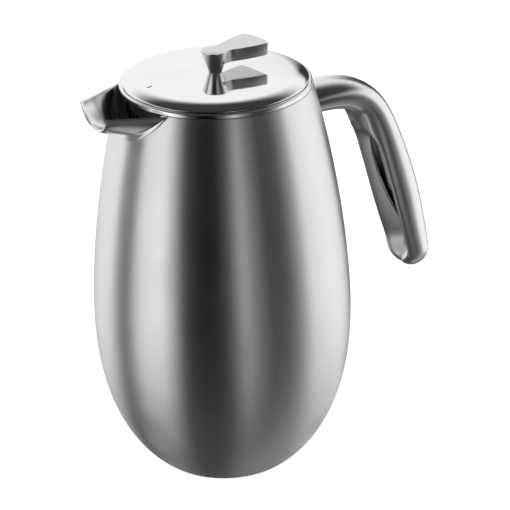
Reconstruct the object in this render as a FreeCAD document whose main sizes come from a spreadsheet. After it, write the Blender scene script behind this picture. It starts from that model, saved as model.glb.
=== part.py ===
import FreeCAD, Part
import math
import os

import Sketcher

# Double-wall steel coffee press, modelled as a parametric document in millimetres.
# Frame: +Z up, origin at the centre of the foot's resting face, handle towards +X, spout towards -X.

Vector = FreeCAD.Vector

SIZES = (
    # jug
    ("rim_height", 196.0, "top of the jug's rim above the table"),
    ("belly_radius", 63.0, "largest radius of the jug"),
    ("belly_height", 77.8, "height of the largest radius"),
    ("beaker_radius", 41.0, "inside radius of the straight inner wall"),
    ("beaker_floor", 7.0, "inside floor of the beaker above the table"),
    ("beaker_corner", 8.0, "inside corner radius at the beaker's floor"),
    ("steel_wall", 0.8, "sheet of the beaker, rim, throat and lid"),
    ("shell_wall", 1.0, "sheet of the outer wall"),
    ("neck_gap", 1.7, "air gap between the two walls at the neck"),
    ("base_tuck", 4.5, "how far the foot of the shell lies inside the beaker's outside"),
    ("upper_power", 1.6, "superellipse power above the belly"),
    ("lower_power", 2.31, "superellipse power below the belly"),
    ("shell_bottom", 1.0, "lower edge of the shell above the table"),
    ("foot_thickness", 2.0, "thickness of the foot pad"),
    ("foot_inset", 3.3, "how far the foot pad lies inside the shell's lower edge"),
    ("foot_chamfer", 0.6, "chamfer on the foot pad's edges"),
    # rim
    ("band_height", 2.2, "height of the rim ring"),
    ("band_step", 0.4, "how far the rim ring lies inside the shell"),
    ("band_groove", 0.35, "chamfer that makes the seam line under the rim ring"),
    ("band_round", 0.6, "rounding of the rim ring's top edge"),
    # pouring window and spout
    ("window_radius", 23.9, "radius of the pouring window's arc"),
    ("window_depth", 13.5, "depth of the pouring window below the rim ring"),
    ("spout_wall", 1.0, "sheet of the spout"),
    ("spout_root_radius", 26.3, "outside arc radius of the spout at the neck"),
    ("spout_root_depth", 15.5, "outside depth of the spout at the neck"),
    ("spout_tip_radius", 14.3, "outside arc radius of the spout at its tip"),
    ("spout_tip_depth", 8.8, "outside depth of the spout at its tip"),
    ("spout_reach", 16.5, "how far the tip stands out from the neck"),
    # lid
    ("lid_gap", 0.2, "gap between the rim and the lid's edge"),
    ("lid_overhang", 1.6, "how far the lid's edge reaches past the beaker's inside"),
    ("lid_edge", 0.7, "height of the lid's upright edge"),
    ("dome_radius", 900.0, "radius of the lid's shallow dome"),
    ("shoulder_radius", 16.0, "radius of the curve from the dome down to the lid's edge"),
    ("shoulder_reach", 7.8, "how far inside the edge the shoulder's centre lies"),
    ("skirt_clearance", 0.6, "gap between the skirt and the beaker"),
    ("skirt_wall", 2.4, "wall of the skirt"),
    ("skirt_depth", 18.5, "how far the skirt hangs below the rim"),
    ("skirt_plate", 1.3, "thickness of the skirt's plate"),
    ("gasket_height", 2.8, "height of the gasket"),
    ("gasket_drop", 1.2, "top of the gasket below the rim"),
    ("gasket_bite", 1.3, "radial thickness of the gasket"),
    ("gasket_clearance", 0.3, "gap round the gasket in its groove"),
    ("slot_width", 2.4, "width of a slot in the pouring grille"),
    ("slot_height", 7.0, "height of a slot in the pouring grille"),
    ("slot_pitch", 4.3, "distance between slots in the grille"),
    ("slot_count", 9.0, "slots in the grille"),
    # stem and knob
    ("rod_radius", 2.0, "radius of the plunger rod"),
    ("bush_clearance", 0.05, "radial running clearance of rod and bush"),
    ("bush_wall", 1.15, "wall of the rod bush"),
    ("bush_gap", 0.3, "end gap of the bush"),
    ("bush_flange", 1.0, "thickness of the bush's flange"),
    ("stud_wall", 0.65, "wall of the lid's guide sleeve"),
    ("waist_wall", 1.1, "steel round the rod at the knob's waist"),
    ("waist_gap", 0.3, "gap between the knob's foot and the lid"),
    ("sleeve_spread", 2.8, "how far the guide sleeve's flange stands out"),
    ("nut_height", 3.4, "height of the lid nut"),
    ("nut_spread", 2.6, "half of what the lid nut's flats add to its bore"),
    ("knob_height", 10.1, "top of the knob above the lid's middle"),
    ("knob_radius", 6.2, "radius of the knob's top over its stem"),
    ("knob_edge", 0.5, "height of the straight edge round the knob's top"),
    ("paddle_thickness", 5.6, "thickness of the paddle"),
    ("paddle_shoulder", 17.0, "distance from the axis to where the paddle is full"),
    ("paddle_reach", 26.2, "reach of the paddle from the axis"),
    ("paddle_end_half_width", 9.0, "half the width of the paddle's end"),
    ("paddle_end_bow", 2.2, "how far the paddle's end bows out"),
    ("paddle_turn", 10.0, "angle of the paddle from +X, degrees"),
    ("paddle_underside_radius", 5.0, "radius of the rising underside at the end"),
    ("paddle_lip", 3.0, "thickness of the paddle's end"),
    ("rod_engagement", 7.0, "depth of the rod's thread in the knob"),
    # filter stack
    ("filter_clearance", 7.0, "underside of the cross plate above the beaker's floor"),
    ("plate_thickness", 0.8, "thickness of the filter's plates"),
    ("mesh_clearance", 0.5, "gap between the mesh's edge and the beaker"),
    ("mesh_thickness", 0.5, "thickness of the woven mesh"),
    ("mesh_edge", 5.0, "height of the mesh's turned-up edge"),
    ("coil_radius", 1.9, "radius of the edge coil's section"),
    ("stack_clearance", 0.1, "gap between the coil and its neighbours"),
    ("collar_radius", 4.5, "radius of the rod's collar"),
    ("collar_height", 4.0, "height of the rod's collar"),
    ("hub_nut_height", 3.0, "height of the nut under the filter"),
    ("hub_nut_spread", 2.0, "half of what the hub nut's flats add to its bore"),
    ("drain_radius", 2.2, "radius of the holes in the spreader plate"),
    # handle
    ("handle_wall", 1.2, "sheet of the handle"),
    ("handle_root_drop", 20.0, "centre of the handle's root below the rim"),
    ("handle_root_half_width", 12.6, "half width of the handle at its root"),
    ("handle_root_half_depth", 6.4, "half depth of the handle at its root"),
    ("grip_half_width", 13.6, "half width of the grip"),
    ("grip_half_depth", 11.8, "half depth of the grip at its fullest"),
    ("tip_length", 12.0, "length of the grip's rounded end"),
    ("valley_offset", 0.8, "floor of the grip's valley from the centre line"),
    ("slot_half_width", 8.5, "half width of the lens-shaped opening in the grip"),
    ("bracket_thickness", 3.0, "thickness of the bracket in the handle's root"),
    ("bracket_half_width", 7.0, "half width of the bracket"),
    ("bracket_reach", 16.0, "how far the bracket stands out from the neck"),
)

# Centre line of the handle: how far each point is outside the neck and below the rim.
HANDLE_LINE = (
    (-4.0, 20.0),
    (14.6, 19.5),
    (31.3, 23.7),
    (45.8, 47.6),
    (53.8, 71.3),
    (61.9, 98.0),
    (70.3, 125.7),
)

PROFILE_STEPS = 24
SECTION_STEPS = 20
HANDLE_SECTIONS = 14
TIP_SECTIONS = 5
HANDLE_POWER = 2.3
# Shares of the handle's length, from its root.
FULLEST_SHARE = 0.68
VALLEY_START = 0.2
VALLEY_FULL = 0.46
OPENING_START = 0.36
OPENING_END = 0.8
VALLEY_SLOPE = 0.55
RIDGE_ROUNDING = 0.17
SPREADER_RINGS = ((12.5, 8), (19.5, 12), (27.0, 18))
CROSS_ARMS = 8


class Size:
    """A number that remembers the sheet expression that it comes from."""

    def __init__(self, value, text):
        self.value = value
        self.text = text

    def joined(self, sign, other, value):
        return Size(value, f"({self.text} {sign} {other.text})")

    def __add__(self, other):
        other = as_size(other)
        return self.joined("+", other, self.value + other.value)

    def __radd__(self, other):
        return as_size(other) + self

    def __sub__(self, other):
        other = as_size(other)
        return self.joined("-", other, self.value - other.value)

    def __rsub__(self, other):
        return as_size(other) - self

    def __mul__(self, other):
        other = as_size(other)
        return self.joined("*", other, self.value * other.value)

    def __rmul__(self, other):
        return as_size(other) * self

    def __truediv__(self, other):
        other = as_size(other)
        return self.joined("/", other, self.value / other.value)

    def __neg__(self):
        return as_size(0) - self

    def root(self):
        return Size(math.sqrt(self.value), f"sqrt({self.text})")


def as_size(number):
    """A Size as it is, or a plain number as a Size."""
    if isinstance(number, Size):
        return number
    return Size(float(number), repr(float(number)))


class Press:
    """The document, its sheet and every size that more than one sub-part shares."""

    def __init__(self):
        self.doc = FreeCAD.newDocument("FrenchPress")
        self.sheet = self.doc.addObject("Spreadsheet::Sheet", "Sizes")
        for row, (alias, value, note) in enumerate(SIZES, start=1):
            self.sheet.set(f"A{row}", note)
            self.sheet.set(f"B{row}", str(value))
            self.sheet.setAlias(f"B{row}", alias)
        self.doc.recompute()
        self.nodes = []
        for alias, _, _ in SIZES:
            setattr(self, alias, Size(float(self.sheet.get(alias)), f"Sizes.{alias}"))
        self.derive()

    def derive(self):
        """Sizes that follow from the sheet."""
        self.beaker_outer = self.beaker_radius + self.steel_wall
        self.shell_top = self.rim_height - self.band_height
        self.neck_inner = self.beaker_outer + self.neck_gap
        self.neck_radius = self.neck_inner + self.shell_wall
        self.base_radius = self.beaker_outer - self.base_tuck
        self.band_outer = self.neck_radius - self.band_step
        self.band_underside = self.rim_height - self.steel_wall
        self.window_bottom = self.shell_top - self.window_depth

        self.lid_radius = self.beaker_radius + self.lid_overhang
        self.lid_edge_bottom = self.rim_height + self.lid_gap
        self.lid_edge_top = self.lid_edge_bottom + self.lid_edge
        dome, shoulder, reach = self.dome_radius, self.shoulder_radius, self.shoulder_reach
        self.shoulder_start = self.lid_radius - reach
        start = self.shoulder_start
        self.shoulder_drop = dome - ((dome - shoulder) * (dome - shoulder) - start * start).root()
        edge_drop = self.shoulder_drop - (shoulder * shoulder - reach * reach).root()
        self.lid_middle = self.lid_edge_top + edge_drop

        self.skirt_outer = self.beaker_radius - self.skirt_clearance
        self.plate_top = self.under_shoulder(self.skirt_outer) - self.stack_clearance
        self.plate_bottom = self.plate_top - self.skirt_plate
        self.skirt_inner = self.skirt_outer - self.skirt_wall
        self.gasket_outer = self.beaker_radius - self.gasket_clearance
        self.gasket_inner = self.gasket_outer - self.gasket_bite
        self.gasket_top = self.rim_height - self.gasket_drop
        self.gasket_bottom = self.gasket_top - self.gasket_height

        self.rod_bore = self.rod_radius + self.bush_clearance
        self.bush_outer = self.rod_bore + self.bush_wall
        self.stud_bore = self.bush_outer + self.bush_clearance
        self.stud_radius = self.stud_bore + self.stud_wall
        self.stem_bore = self.rod_radius + self.bush_gap
        self.waist_radius = self.rod_radius + self.waist_wall
        self.sleeve_radius = self.stud_radius + self.sleeve_spread
        self.sleeve_top = self.dome_height(self.sleeve_radius, self.steel_wall)
        self.bush_seat = self.sleeve_top - self.steel_wall
        self.waist_bottom = self.lid_middle + self.waist_gap
        self.nut_bottom = self.plate_bottom - self.nut_height
        self.stud_bottom = self.nut_bottom - self.steel_wall
        self.knob_top = self.lid_middle + self.knob_height
        self.paddle_bottom = self.knob_top - self.paddle_thickness
        self.rod_top = self.waist_bottom + self.rod_engagement

        self.cross_bottom = self.beaker_floor + self.filter_clearance
        self.mesh_bottom = self.cross_bottom + self.plate_thickness
        self.mesh_top = self.mesh_bottom + self.mesh_thickness
        self.spreader_top = self.mesh_top + self.plate_thickness
        self.mesh_radius = self.beaker_radius - self.mesh_clearance
        self.coil_centre = (
            self.mesh_radius - self.mesh_thickness - self.stack_clearance - self.coil_radius
        )
        self.spreader_radius = self.coil_centre - self.coil_radius - self.stack_clearance
        self.hub_nut_bottom = self.cross_bottom - self.hub_nut_height
        self.rod_bottom = self.hub_nut_bottom - self.stack_clearance

    def dome_height(self, radius, wall):
        """Height of the lid's shallow dome at a radius, a wall below its top."""
        bend = self.dome_radius - wall
        return self.lid_middle - self.dome_radius + (bend * bend - radius * radius).root()

    def under_shoulder(self, radius):
        """Height of the underside of the lid's shoulder at a radius."""
        bend = self.shoulder_radius - self.steel_wall
        reach = radius - self.shoulder_start
        return self.lid_middle - self.shoulder_drop + (bend * bend - reach * reach).root()

    def shoulder_join(self, wall):
        """Radius and height at which the dome meets the shoulder, a wall below the top."""
        share = (self.dome_radius - wall) / (self.dome_radius - self.shoulder_radius)
        height = self.lid_middle - self.dome_radius + share * (self.dome_radius - self.shoulder_drop)
        return share * self.shoulder_start, height

    def node(self, thing, label):
        """Make a document object a sub-part: its Label names its file."""
        thing.Label = label
        self.nodes.append(thing)
        return thing

    def feature(self, label, shape):
        """A sub-part whose shape was made by Part's own functions."""
        thing = self.doc.addObject("Part::Feature", label)
        thing.Shape = shape
        thing.Placement = FreeCAD.Placement()
        return self.node(thing, label)

    def body(self, label):
        return self.node(self.doc.addObject("PartDesign::Body", label), label)


# ---------------------------------------------------------------- drawing helpers


def bind(thing, prop, size):
    """Tie a property to the sheet."""
    thing.setExpression(prop, as_size(size).text)


def plane(body, role):
    """One of the body's own origin planes."""
    return next(item for item in body.Origin.OriginFeatures if item.Role == role)


def sketch_on(body, role, name, height=None):
    """An empty sketch on an origin plane, lifted by height along the plane's normal."""
    sketch = body.newObject("Sketcher::SketchObject", name)
    sketch.AttachmentSupport = [(plane(body, role), "")]
    sketch.MapMode = "FlatFace"
    if height is not None:
        bind(sketch, "AttachmentOffset.Base.z", height)
    return sketch


def arc_between(start, end, radius):
    """Circle arc from start to end; a positive radius puts its centre on the right of the way."""
    chord = end - start
    half = chord.Length / 2
    size = abs(radius)
    offset = math.sqrt(max(size * size - half * half, 0.0))
    side = 1 if radius > 0 else -1
    normal = Vector(chord.y, -chord.x, 0).normalize() * side
    centre = (start + end) / 2 + normal * offset
    first = math.atan2(start.y - centre.y, start.x - centre.x)
    last = math.atan2(end.y - centre.y, end.x - centre.x)
    if radius > 0:
        first, last = last, first
    return Part.ArcOfCircle(Part.Circle(centre, Vector(0, 0, 1), size), first, last)


def draw(sketch, corners):
    """Draw one closed outline. A corner is (x, y), or (x, y, radius) where an arc leaves it."""
    places = [Vector(as_size(item[0]).value, as_size(item[1]).value, 0) for item in corners]
    ends = []
    for index, item in enumerate(corners):
        start, end = places[index], places[(index + 1) % len(places)]
        if len(item) == 2:
            edge = sketch.addGeometry(Part.LineSegment(start, end), False)
            ends.append((edge, 1, 2))
            continue
        radius = as_size(item[2])
        edge = sketch.addGeometry(arc_between(start, end, radius.value), False)
        ends.append((edge, 2, 1) if radius.value > 0 else (edge, 1, 2))
    for index, (edge, first, _) in enumerate(ends):
        before, _, last = ends[index - 1]
        sketch.addConstraint(Sketcher.Constraint("Coincident", before, last, edge, first))
    for (edge, first, _), item in zip(ends, corners):
        pin(sketch, edge, first, "DistanceX", -2, item[0])
        pin(sketch, edge, first, "DistanceY", -1, item[1])
        if len(item) == 3:
            radius = as_size(item[2])
            sign = radius if radius.value > 0 else -radius
            row = sketch.addConstraint(Sketcher.Constraint("Radius", edge, sign.value))
            sketch.setExpression(f"Constraints[{row}]", sign.text)
    return sketch


def pin(sketch, edge, point, kind, axis, size):
    """Hold one coordinate of a point at a size, or on the axis where that is zero."""
    size = as_size(size)
    if size.value == 0:
        sketch.addConstraint(Sketcher.Constraint("PointOnObject", edge, point, axis))
        return
    row = sketch.addConstraint(Sketcher.Constraint(kind, -1, 1, edge, point, size.value))
    sketch.setExpression(f"Constraints[{row}]", size.text)


def turned(press, label, corners):
    """A sub-part turned about the jug's axis from its half section, (radius, height) corners."""
    body = press.body(label)
    sketch = draw(sketch_on(body, "XZ_Plane", f"{label}_section"), corners)
    turn = body.newObject("PartDesign::Revolution", f"{label}_turn")
    turn.Profile = sketch
    turn.ReferenceAxis = (sketch, ["V_Axis"])
    turn.Angle = 360
    return body


def pocket(body, sketch, name, length=None, reverse=False, both=False):
    """Cut a sketch out of a body, through all of it unless a length is given."""
    cut = body.newObject("PartDesign::Pocket", name)
    cut.Profile = sketch
    cut.Reversed = reverse
    cut.Midplane = both
    if length is None:
        cut.Type = 1
    else:
        bind(cut, "Length", length)
    return cut


def circle_sketch(body, name, x, y, radius, height=None):
    """A sketch on the XY plane with one circle."""
    sketch = sketch_on(body, "XY_Plane", name, height)
    x, y, radius = as_size(x), as_size(y), as_size(radius)
    circle = Part.Circle(Vector(x.value, y.value, 0), Vector(0, 0, 1), radius.value)
    edge = sketch.addGeometry(circle, False)
    pin(sketch, edge, 3, "DistanceX", -2, x)
    pin(sketch, edge, 3, "DistanceY", -1, y)
    row = sketch.addConstraint(Sketcher.Constraint("Radius", edge, radius.value))
    sketch.setExpression(f"Constraints[{row}]", radius.text)
    return sketch


def primitive(press, kind, name, sizes, height=None):
    """A Part primitive on the jug's axis, its sizes and its height tied to the sheet."""
    thing = press.doc.addObject(kind, name)
    for prop, size in sizes.items():
        bind(thing, prop, size)
    if height is not None:
        bind(thing, "Placement.Base.z", height)
    return thing


def cut_from(press, label, base, tool):
    """A sub-part that is one primitive cut by another."""
    thing = press.doc.addObject("Part::Cut", label)
    thing.Base = base
    thing.Tool = tool
    return press.node(thing, label)


# ---------------------------------------------------------------- the jug's own curve


def egg_radius(press, height):
    """Outside radius of the shell: two superellipse quarters that meet at the belly."""
    belly = press.belly_radius.value
    rise = height - press.belly_height.value
    if rise > 0:
        power = press.upper_power.value
        end_radius, end_rise = press.neck_radius.value, press.shell_top.value
    else:
        power = press.lower_power.value
        end_radius, end_rise = press.base_radius.value, 0.0
    end_rise = abs(end_rise - press.belly_height.value)
    reach = end_rise / (1 - (end_radius / belly) ** power) ** (1 / power)
    return belly * (1 - (abs(rise) / reach) ** power) ** (1 / power)


def egg_solid(press, bottom, top, inset=0.0):
    """The jug's outer form as a solid of revolution between two heights, less an inset."""
    points = []
    for step in range(PROFILE_STEPS + 1):
        height = bottom + (top - bottom) * step / PROFILE_STEPS
        points.append(Vector(egg_radius(press, height) - inset, 0, height))
    curve = Part.BSplineCurve()
    curve.interpolate(points)
    low, high = Vector(0, 0, bottom), Vector(0, 0, top)
    edges = [
        Part.makeLine(low, points[0]),
        curve.toShape(),
        Part.makeLine(points[-1], high),
        Part.makeLine(high, low),
    ]
    face = Part.Face(Part.Wire(edges))
    return face.revolve(Vector(0, 0, 0), Vector(0, 0, 1), 360)


def trough_face(x, radius, bottom, top):
    """Upright face at x, square to the X axis: a circle's lower part, closed by a level line."""
    depth = top - bottom
    half = math.sqrt(radius * radius - (radius - depth) ** 2)
    left, low, right = Vector(x, -half, top), Vector(x, 0, bottom), Vector(x, half, top)
    arc = Part.Arc(left, low, right).toShape()
    return Part.Face(Part.Wire([arc, Part.makeLine(right, left)]))


def window_tool(press, grow=0.0, rise=0.0):
    """The space that the pouring window takes, from the axis outwards past the shell."""
    face = trough_face(
        0.0,
        press.window_radius.value + grow,
        press.window_bottom.value - grow,
        press.shell_top.value + rise,
    )
    return face.extrude(Vector(-press.belly_radius.value, 0, 0))


# ---------------------------------------------------------------- jug


def make_outer_shell(press):
    bottom, top = press.shell_bottom.value, press.shell_top.value
    outside = egg_solid(press, bottom, top)
    inside = egg_solid(press, bottom, top, press.shell_wall.value)
    shell = outside.cut(inside).cut(window_tool(press, rise=press.band_height.value))
    press.feature("outer_shell", shell)


def make_inner_beaker(press):
    inner, outer = press.beaker_radius, press.beaker_outer
    floor, corner = press.beaker_floor, press.beaker_corner
    underside = floor - press.steel_wall
    body = turned(
        press,
        "inner_beaker",
        [
            (0, underside),
            (inner - corner, underside, -(corner + press.steel_wall)),
            (outer, floor + corner),
            (outer, press.band_underside),
            (inner, press.band_underside),
            (inner, floor + corner, corner),
            (inner - corner, floor),
            (0, floor),
        ],
    )
    depth = press.window_depth
    radius = press.window_radius
    half = (radius * radius - (radius - depth) * (radius - depth)).root()
    sketch = sketch_on(body, "YZ_Plane", "beaker_window")
    draw(
        sketch,
        [(-half, press.shell_top, -radius), (half, press.shell_top)],
    )
    pocket(body, sketch, "beaker_window_cut", press.belly_radius)


def make_rim_band(press):
    outer, inner = press.band_outer, press.beaker_radius
    corner = press.band_round
    turned(
        press,
        "rim_band",
        [
            (press.neck_inner, press.shell_top),
            (outer - press.band_groove, press.shell_top),
            (outer, press.shell_top + press.band_groove),
            (outer, press.rim_height - corner, -corner),
            (outer - corner, press.rim_height),
            (inner, press.rim_height),
            (inner, press.band_underside),
            (press.neck_inner, press.band_underside),
        ],
    )


def make_spout_throat(press):
    """Short sleeve round the pouring window, between the two walls."""
    wall = press.steel_wall.value
    sleeve = window_tool(press, grow=wall, rise=wall).cut(window_tool(press))
    jacket = egg_solid(
        press, press.shell_bottom.value, press.rim_height.value, press.shell_wall.value
    )
    beaker = Part.makeCylinder(press.beaker_outer.value, press.rim_height.value)
    band = Part.makeCylinder(
        press.belly_radius.value, press.band_height.value, Vector(0, 0, press.shell_top.value)
    )
    band = band.cut(Part.makeCylinder(press.neck_inner.value, press.rim_height.value))
    press.feature("spout_throat", sleeve.common(jacket).cut(beaker).cut(band))


def make_spout(press):
    """Pressed trough, open on top, that widens from its tip to the neck."""
    wall = press.spout_wall.value
    top = press.shell_top.value
    root_x = -press.beaker_radius.value
    tip_x = -(press.neck_radius.value + press.spout_reach.value)

    def form(inset, rise, past):
        root = trough_face(
            root_x,
            press.spout_root_radius.value - inset,
            top - press.spout_root_depth.value + inset,
            top + rise,
        )
        tip = trough_face(
            tip_x - past,
            press.spout_tip_radius.value - inset,
            top - press.spout_tip_depth.value + inset,
            top + rise,
        )
        return Part.makeLoft([root.OuterWire, tip.OuterWire], True, True)

    trough = form(0.0, 0.0, 0.0).cut(form(wall, wall, wall))
    neck = egg_solid(press, press.shell_bottom.value, press.rim_height.value)
    press.feature("spout", trough.cut(neck))


def make_base_cap(press):
    """Disc that closes the shell at the bottom, its edge on the shell's inside."""
    bottom = press.foot_thickness.value
    core = egg_solid(press, bottom, bottom + press.steel_wall.value, press.shell_wall.value)
    press.feature("base_cap", core)


def make_foot_pad(press):
    radius = press.base_radius - press.foot_inset
    edge = press.foot_chamfer
    turned(
        press,
        "foot_pad",
        [
            (0, 0),
            (radius - edge, 0),
            (radius, edge),
            (radius, press.foot_thickness),
            (0, press.foot_thickness),
        ],
    )


# ---------------------------------------------------------------- handle


def handle_curve(press):
    """The handle's centre line as a spline in the XZ plane."""
    curve = Part.BSplineCurve()
    neck, rim = press.neck_radius.value, press.rim_height.value
    curve.interpolate([Vector(neck + out, 0, rim - down) for out, down in HANDLE_LINE])
    return curve


def eased(share, start, end):
    """Smooth step from 0 at start to 1 at end."""
    place = min(max((share - start) / (end - start), 0.0), 1.0)
    return 0.5 - 0.5 * math.cos(math.pi * place)


def along(values, share):
    """Smooth value at a share of the handle's length, from its root, fullest and end values."""
    root, fullest, end = values
    return (
        root
        + (fullest - root) * eased(share, 0.0, FULLEST_SHARE)
        + (end - fullest) * eased(share, FULLEST_SHARE, 1.0)
    )


def section_depth(wide, half_width, half_depth, valley):
    """How far the inner side lies from the centre line at a distance wide from the middle plane."""
    oval = half_depth * (1 - (wide / half_width) ** HANDLE_POWER) ** (1 / HANDLE_POWER)
    flank = valley + VALLEY_SLOPE * wide
    return 0.5 * (oval + flank - math.hypot(oval - flank, RIDGE_ROUNDING * half_depth))


def handle_section(centre, tangent, half_width, half_depth, valley):
    """Closed wire square to the centre line: an oval with a valley along its inner side."""
    deep = Vector(0, 1, 0).cross(tangent).normalize()
    half = []
    for step in range(SECTION_STEPS + 1):
        angle = math.pi * step / SECTION_STEPS
        wide = half_width * math.sin(angle) ** (2 / HANDLE_POWER)
        if step <= SECTION_STEPS / 2:
            depth = half_depth * math.cos(angle) ** (2 / HANDLE_POWER)
        else:
            depth = -section_depth(wide, half_width, half_depth, valley)
        half.append((wide, depth))
    edges = []
    for side in (1, -1):
        points = [centre + Vector(0, side * wide, 0) - deep * depth for wide, depth in half]
        curve = Part.BSplineCurve()
        curve.interpolate(points if side > 0 else points[::-1])
        edges.append(curve.toShape())
    return Part.Wire(edges)


def handle_form(press, inset):
    """The handle's outer form, or with an inset the hollow in it."""
    curve = handle_curve(press)
    length = curve.length()
    widths = (
        press.handle_root_half_width.value,
        press.grip_half_width.value,
        press.grip_half_width.value - press.handle_wall.value,
    )
    depths = (
        press.handle_root_half_depth.value,
        press.grip_half_depth.value,
        press.grip_half_depth.value - 2 * press.handle_wall.value,
    )
    rounding = press.tip_length.value
    straight = length - rounding
    stops = [straight * step / HANDLE_SECTIONS for step in range(HANDLE_SECTIONS + 1)]
    for step in range(1, TIP_SECTIONS + 1):
        stops.append(straight + rounding * math.sin(math.pi / 2 * step / (TIP_SECTIONS + 0.4)))
    wires = []
    for stop in stops:
        place = curve.parameterAtDistance(stop)
        closing = max(stop - straight, 0.0) / rounding
        scale = math.sqrt(1 - closing * closing)
        share = stop / length
        half_width = along(widths, share) * scale - inset
        half_depth = along(depths, share) * scale - inset
        if min(half_width, half_depth) < inset:
            break
        closed = 2 * press.grip_half_depth.value
        open_share = eased(share, VALLEY_START, VALLEY_FULL)
        valley = (closed + (press.valley_offset.value - closed) * open_share) * scale - inset
        tangent = Vector(*curve.tangent(place)[0])
        centre = curve.value(place)
        wires.append(handle_section(centre, tangent, half_width, half_depth, valley))
    return Part.makeLoft(wires, True, False)


def grip_opening(press):
    """Lens-shaped opening along the grip's valley, cut from inside the hollow towards the jug."""
    curve = handle_curve(press)
    length = curve.length()
    start = curve.value(curve.parameterAtDistance(length * OPENING_START))
    end = curve.value(curve.parameterAtDistance(length * OPENING_END))
    inward = Vector(0, 1, 0).cross(end - start).normalize()
    if inward.x > 0:
        inward = -inward
    shift = inward * -2 * press.handle_wall.value
    start, end = start + shift, end + shift
    half = press.slot_half_width.value
    middle = (start + end) / 2
    arcs = [
        Part.Arc(start, middle + Vector(0, half, 0), end).toShape(),
        Part.Arc(end, middle - Vector(0, half, 0), start).toShape(),
    ]
    return Part.Face(Part.Wire(arcs)).extrude(inward * 3 * press.grip_half_depth.value)


def make_handle(press):
    """Two hollow pressings that meet on the middle plane, and the bracket in their root."""
    neck = egg_solid(press, press.shell_bottom.value, press.rim_height.value)
    pressing = handle_form(press, 0.0).cut(handle_form(press, press.handle_wall.value))
    pressing = pressing.cut(neck).cut(grip_opening(press))
    block = 2 * press.rim_height.value
    for label, side in (("handle_left_half", -block), ("handle_right_half", 0.0)):
        box = Part.makeBox(block, block, block, Vector(0, side, 0))
        press.feature(label, pressing.common(box))
    thickness = press.bracket_thickness.value
    half = press.bracket_half_width.value
    height = press.rim_height.value - press.handle_root_drop.value - thickness / 2
    tongue = Part.makeBox(
        press.neck_radius.value + press.bracket_reach.value,
        2 * half,
        thickness,
        Vector(0, -half, height),
    )
    press.feature("handle_bracket", tongue.cut(neck))


# ---------------------------------------------------------------- lid


def make_lid_top(press):
    """Domed sheet whose shoulder curves down to an upright edge on the rim."""
    outer, wall = press.lid_radius, press.steel_wall
    inner, hole = outer - wall, press.stem_bore
    dome, shoulder = press.dome_radius, press.shoulder_radius
    turned(
        press,
        "lid_top",
        [
            (hole, press.dome_height(hole, wall), dome - wall),
            (*press.shoulder_join(wall), shoulder - wall),
            (inner, press.under_shoulder(inner)),
            (inner, press.lid_edge_bottom),
            (outer, press.lid_edge_bottom),
            (outer, press.lid_edge_top, -shoulder),
            (*press.shoulder_join(0), -dome),
            (hole, press.dome_height(hole, 0)),
        ],
    )


def make_lid_skirt(press):
    """Plastic insert: plate, wall with the pouring grille and gasket groove."""
    outer, inner = press.skirt_outer, press.skirt_inner
    gap = press.gasket_clearance
    groove = press.gasket_inner - gap
    body = turned(
        press,
        "lid_skirt",
        [
            (press.stud_radius, press.plate_bottom),
            (inner, press.plate_bottom),
            (inner, press.rim_height - press.skirt_depth),
            (outer, press.rim_height - press.skirt_depth),
            (outer, press.gasket_bottom - gap),
            (groove, press.gasket_bottom - gap),
            (groove, press.gasket_top + gap),
            (outer, press.gasket_top + gap),
            (outer, press.plate_top),
            (press.stud_radius, press.plate_top),
        ],
    )
    first = -(press.slot_count - 1) * press.slot_pitch / 2
    left = first - press.slot_width / 2
    bottom = press.rim_height - press.skirt_depth + press.skirt_wall
    sketch = sketch_on(body, "YZ_Plane", "grille_slot")
    draw(
        sketch,
        [
            (left, bottom),
            (left + press.slot_width, bottom),
            (left + press.slot_width, bottom + press.slot_height),
            (left, bottom + press.slot_height),
        ],
    )
    slot = pocket(body, sketch, "grille_slot_cut", press.belly_radius)
    pattern = body.newObject("PartDesign::LinearPattern", "grille")
    pattern.Originals = [slot]
    pattern.Direction = (sketch, ["H_Axis"])
    bind(pattern, "Length", (press.slot_count - 1) * press.slot_pitch)
    bind(pattern, "Occurrences", press.slot_count)
    body.Tip = pattern


def make_lid_gasket(press):
    """Silicone ring with two lips on its outside."""
    outer, inner = press.gasket_outer, press.gasket_inner
    low, high = press.gasket_bottom, press.gasket_top
    third = press.gasket_height / 3
    back = press.gasket_bite / 3
    turned(
        press,
        "lid_gasket",
        [
            (inner, low),
            (outer, low),
            (outer - back, low + third),
            (outer - back, high - third),
            (outer, high),
            (inner, high),
        ],
    )


def make_lid_sleeve(press):
    """Guide sleeve under the lid: flange against the dome, hollow stud down through the plate."""
    turned(
        press,
        "lid_sleeve",
        [
            (press.stud_bore, press.stud_bottom),
            (press.stud_radius, press.stud_bottom),
            (press.stud_radius, press.plate_top),
            (press.sleeve_radius, press.plate_top),
            (press.sleeve_radius, press.sleeve_top),
            (press.stem_bore, press.sleeve_top),
            (press.stem_bore, press.bush_seat),
            (press.stud_bore, press.bush_seat),
        ],
    )


def hex_nut(press, label, bore, spread, height, bottom):
    """Hexagon nut on the jug's axis."""
    across_corners = (bore + spread) / math.cos(math.pi / 6)
    blank = primitive(
        press, "Part::Prism", f"{label}_blank", {"Circumradius": across_corners, "Height": height}, bottom
    )
    blank.Polygon = 6
    hole = primitive(
        press, "Part::Cylinder", f"{label}_bore", {"Radius": bore, "Height": height}, bottom
    )
    return cut_from(press, label, blank, hole)


def make_rod_bush(press):
    bore, outer = press.rod_bore, press.bush_outer
    top = press.bush_seat - press.bush_gap
    shoulder = press.stud_bottom - press.bush_gap
    turned(
        press,
        "rod_bush",
        [
            (bore, shoulder - press.bush_flange),
            (outer + press.bush_wall, shoulder - press.bush_flange),
            (outer + press.bush_wall, shoulder),
            (outer, shoulder),
            (outer, top),
            (bore, top),
        ],
    )


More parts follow.
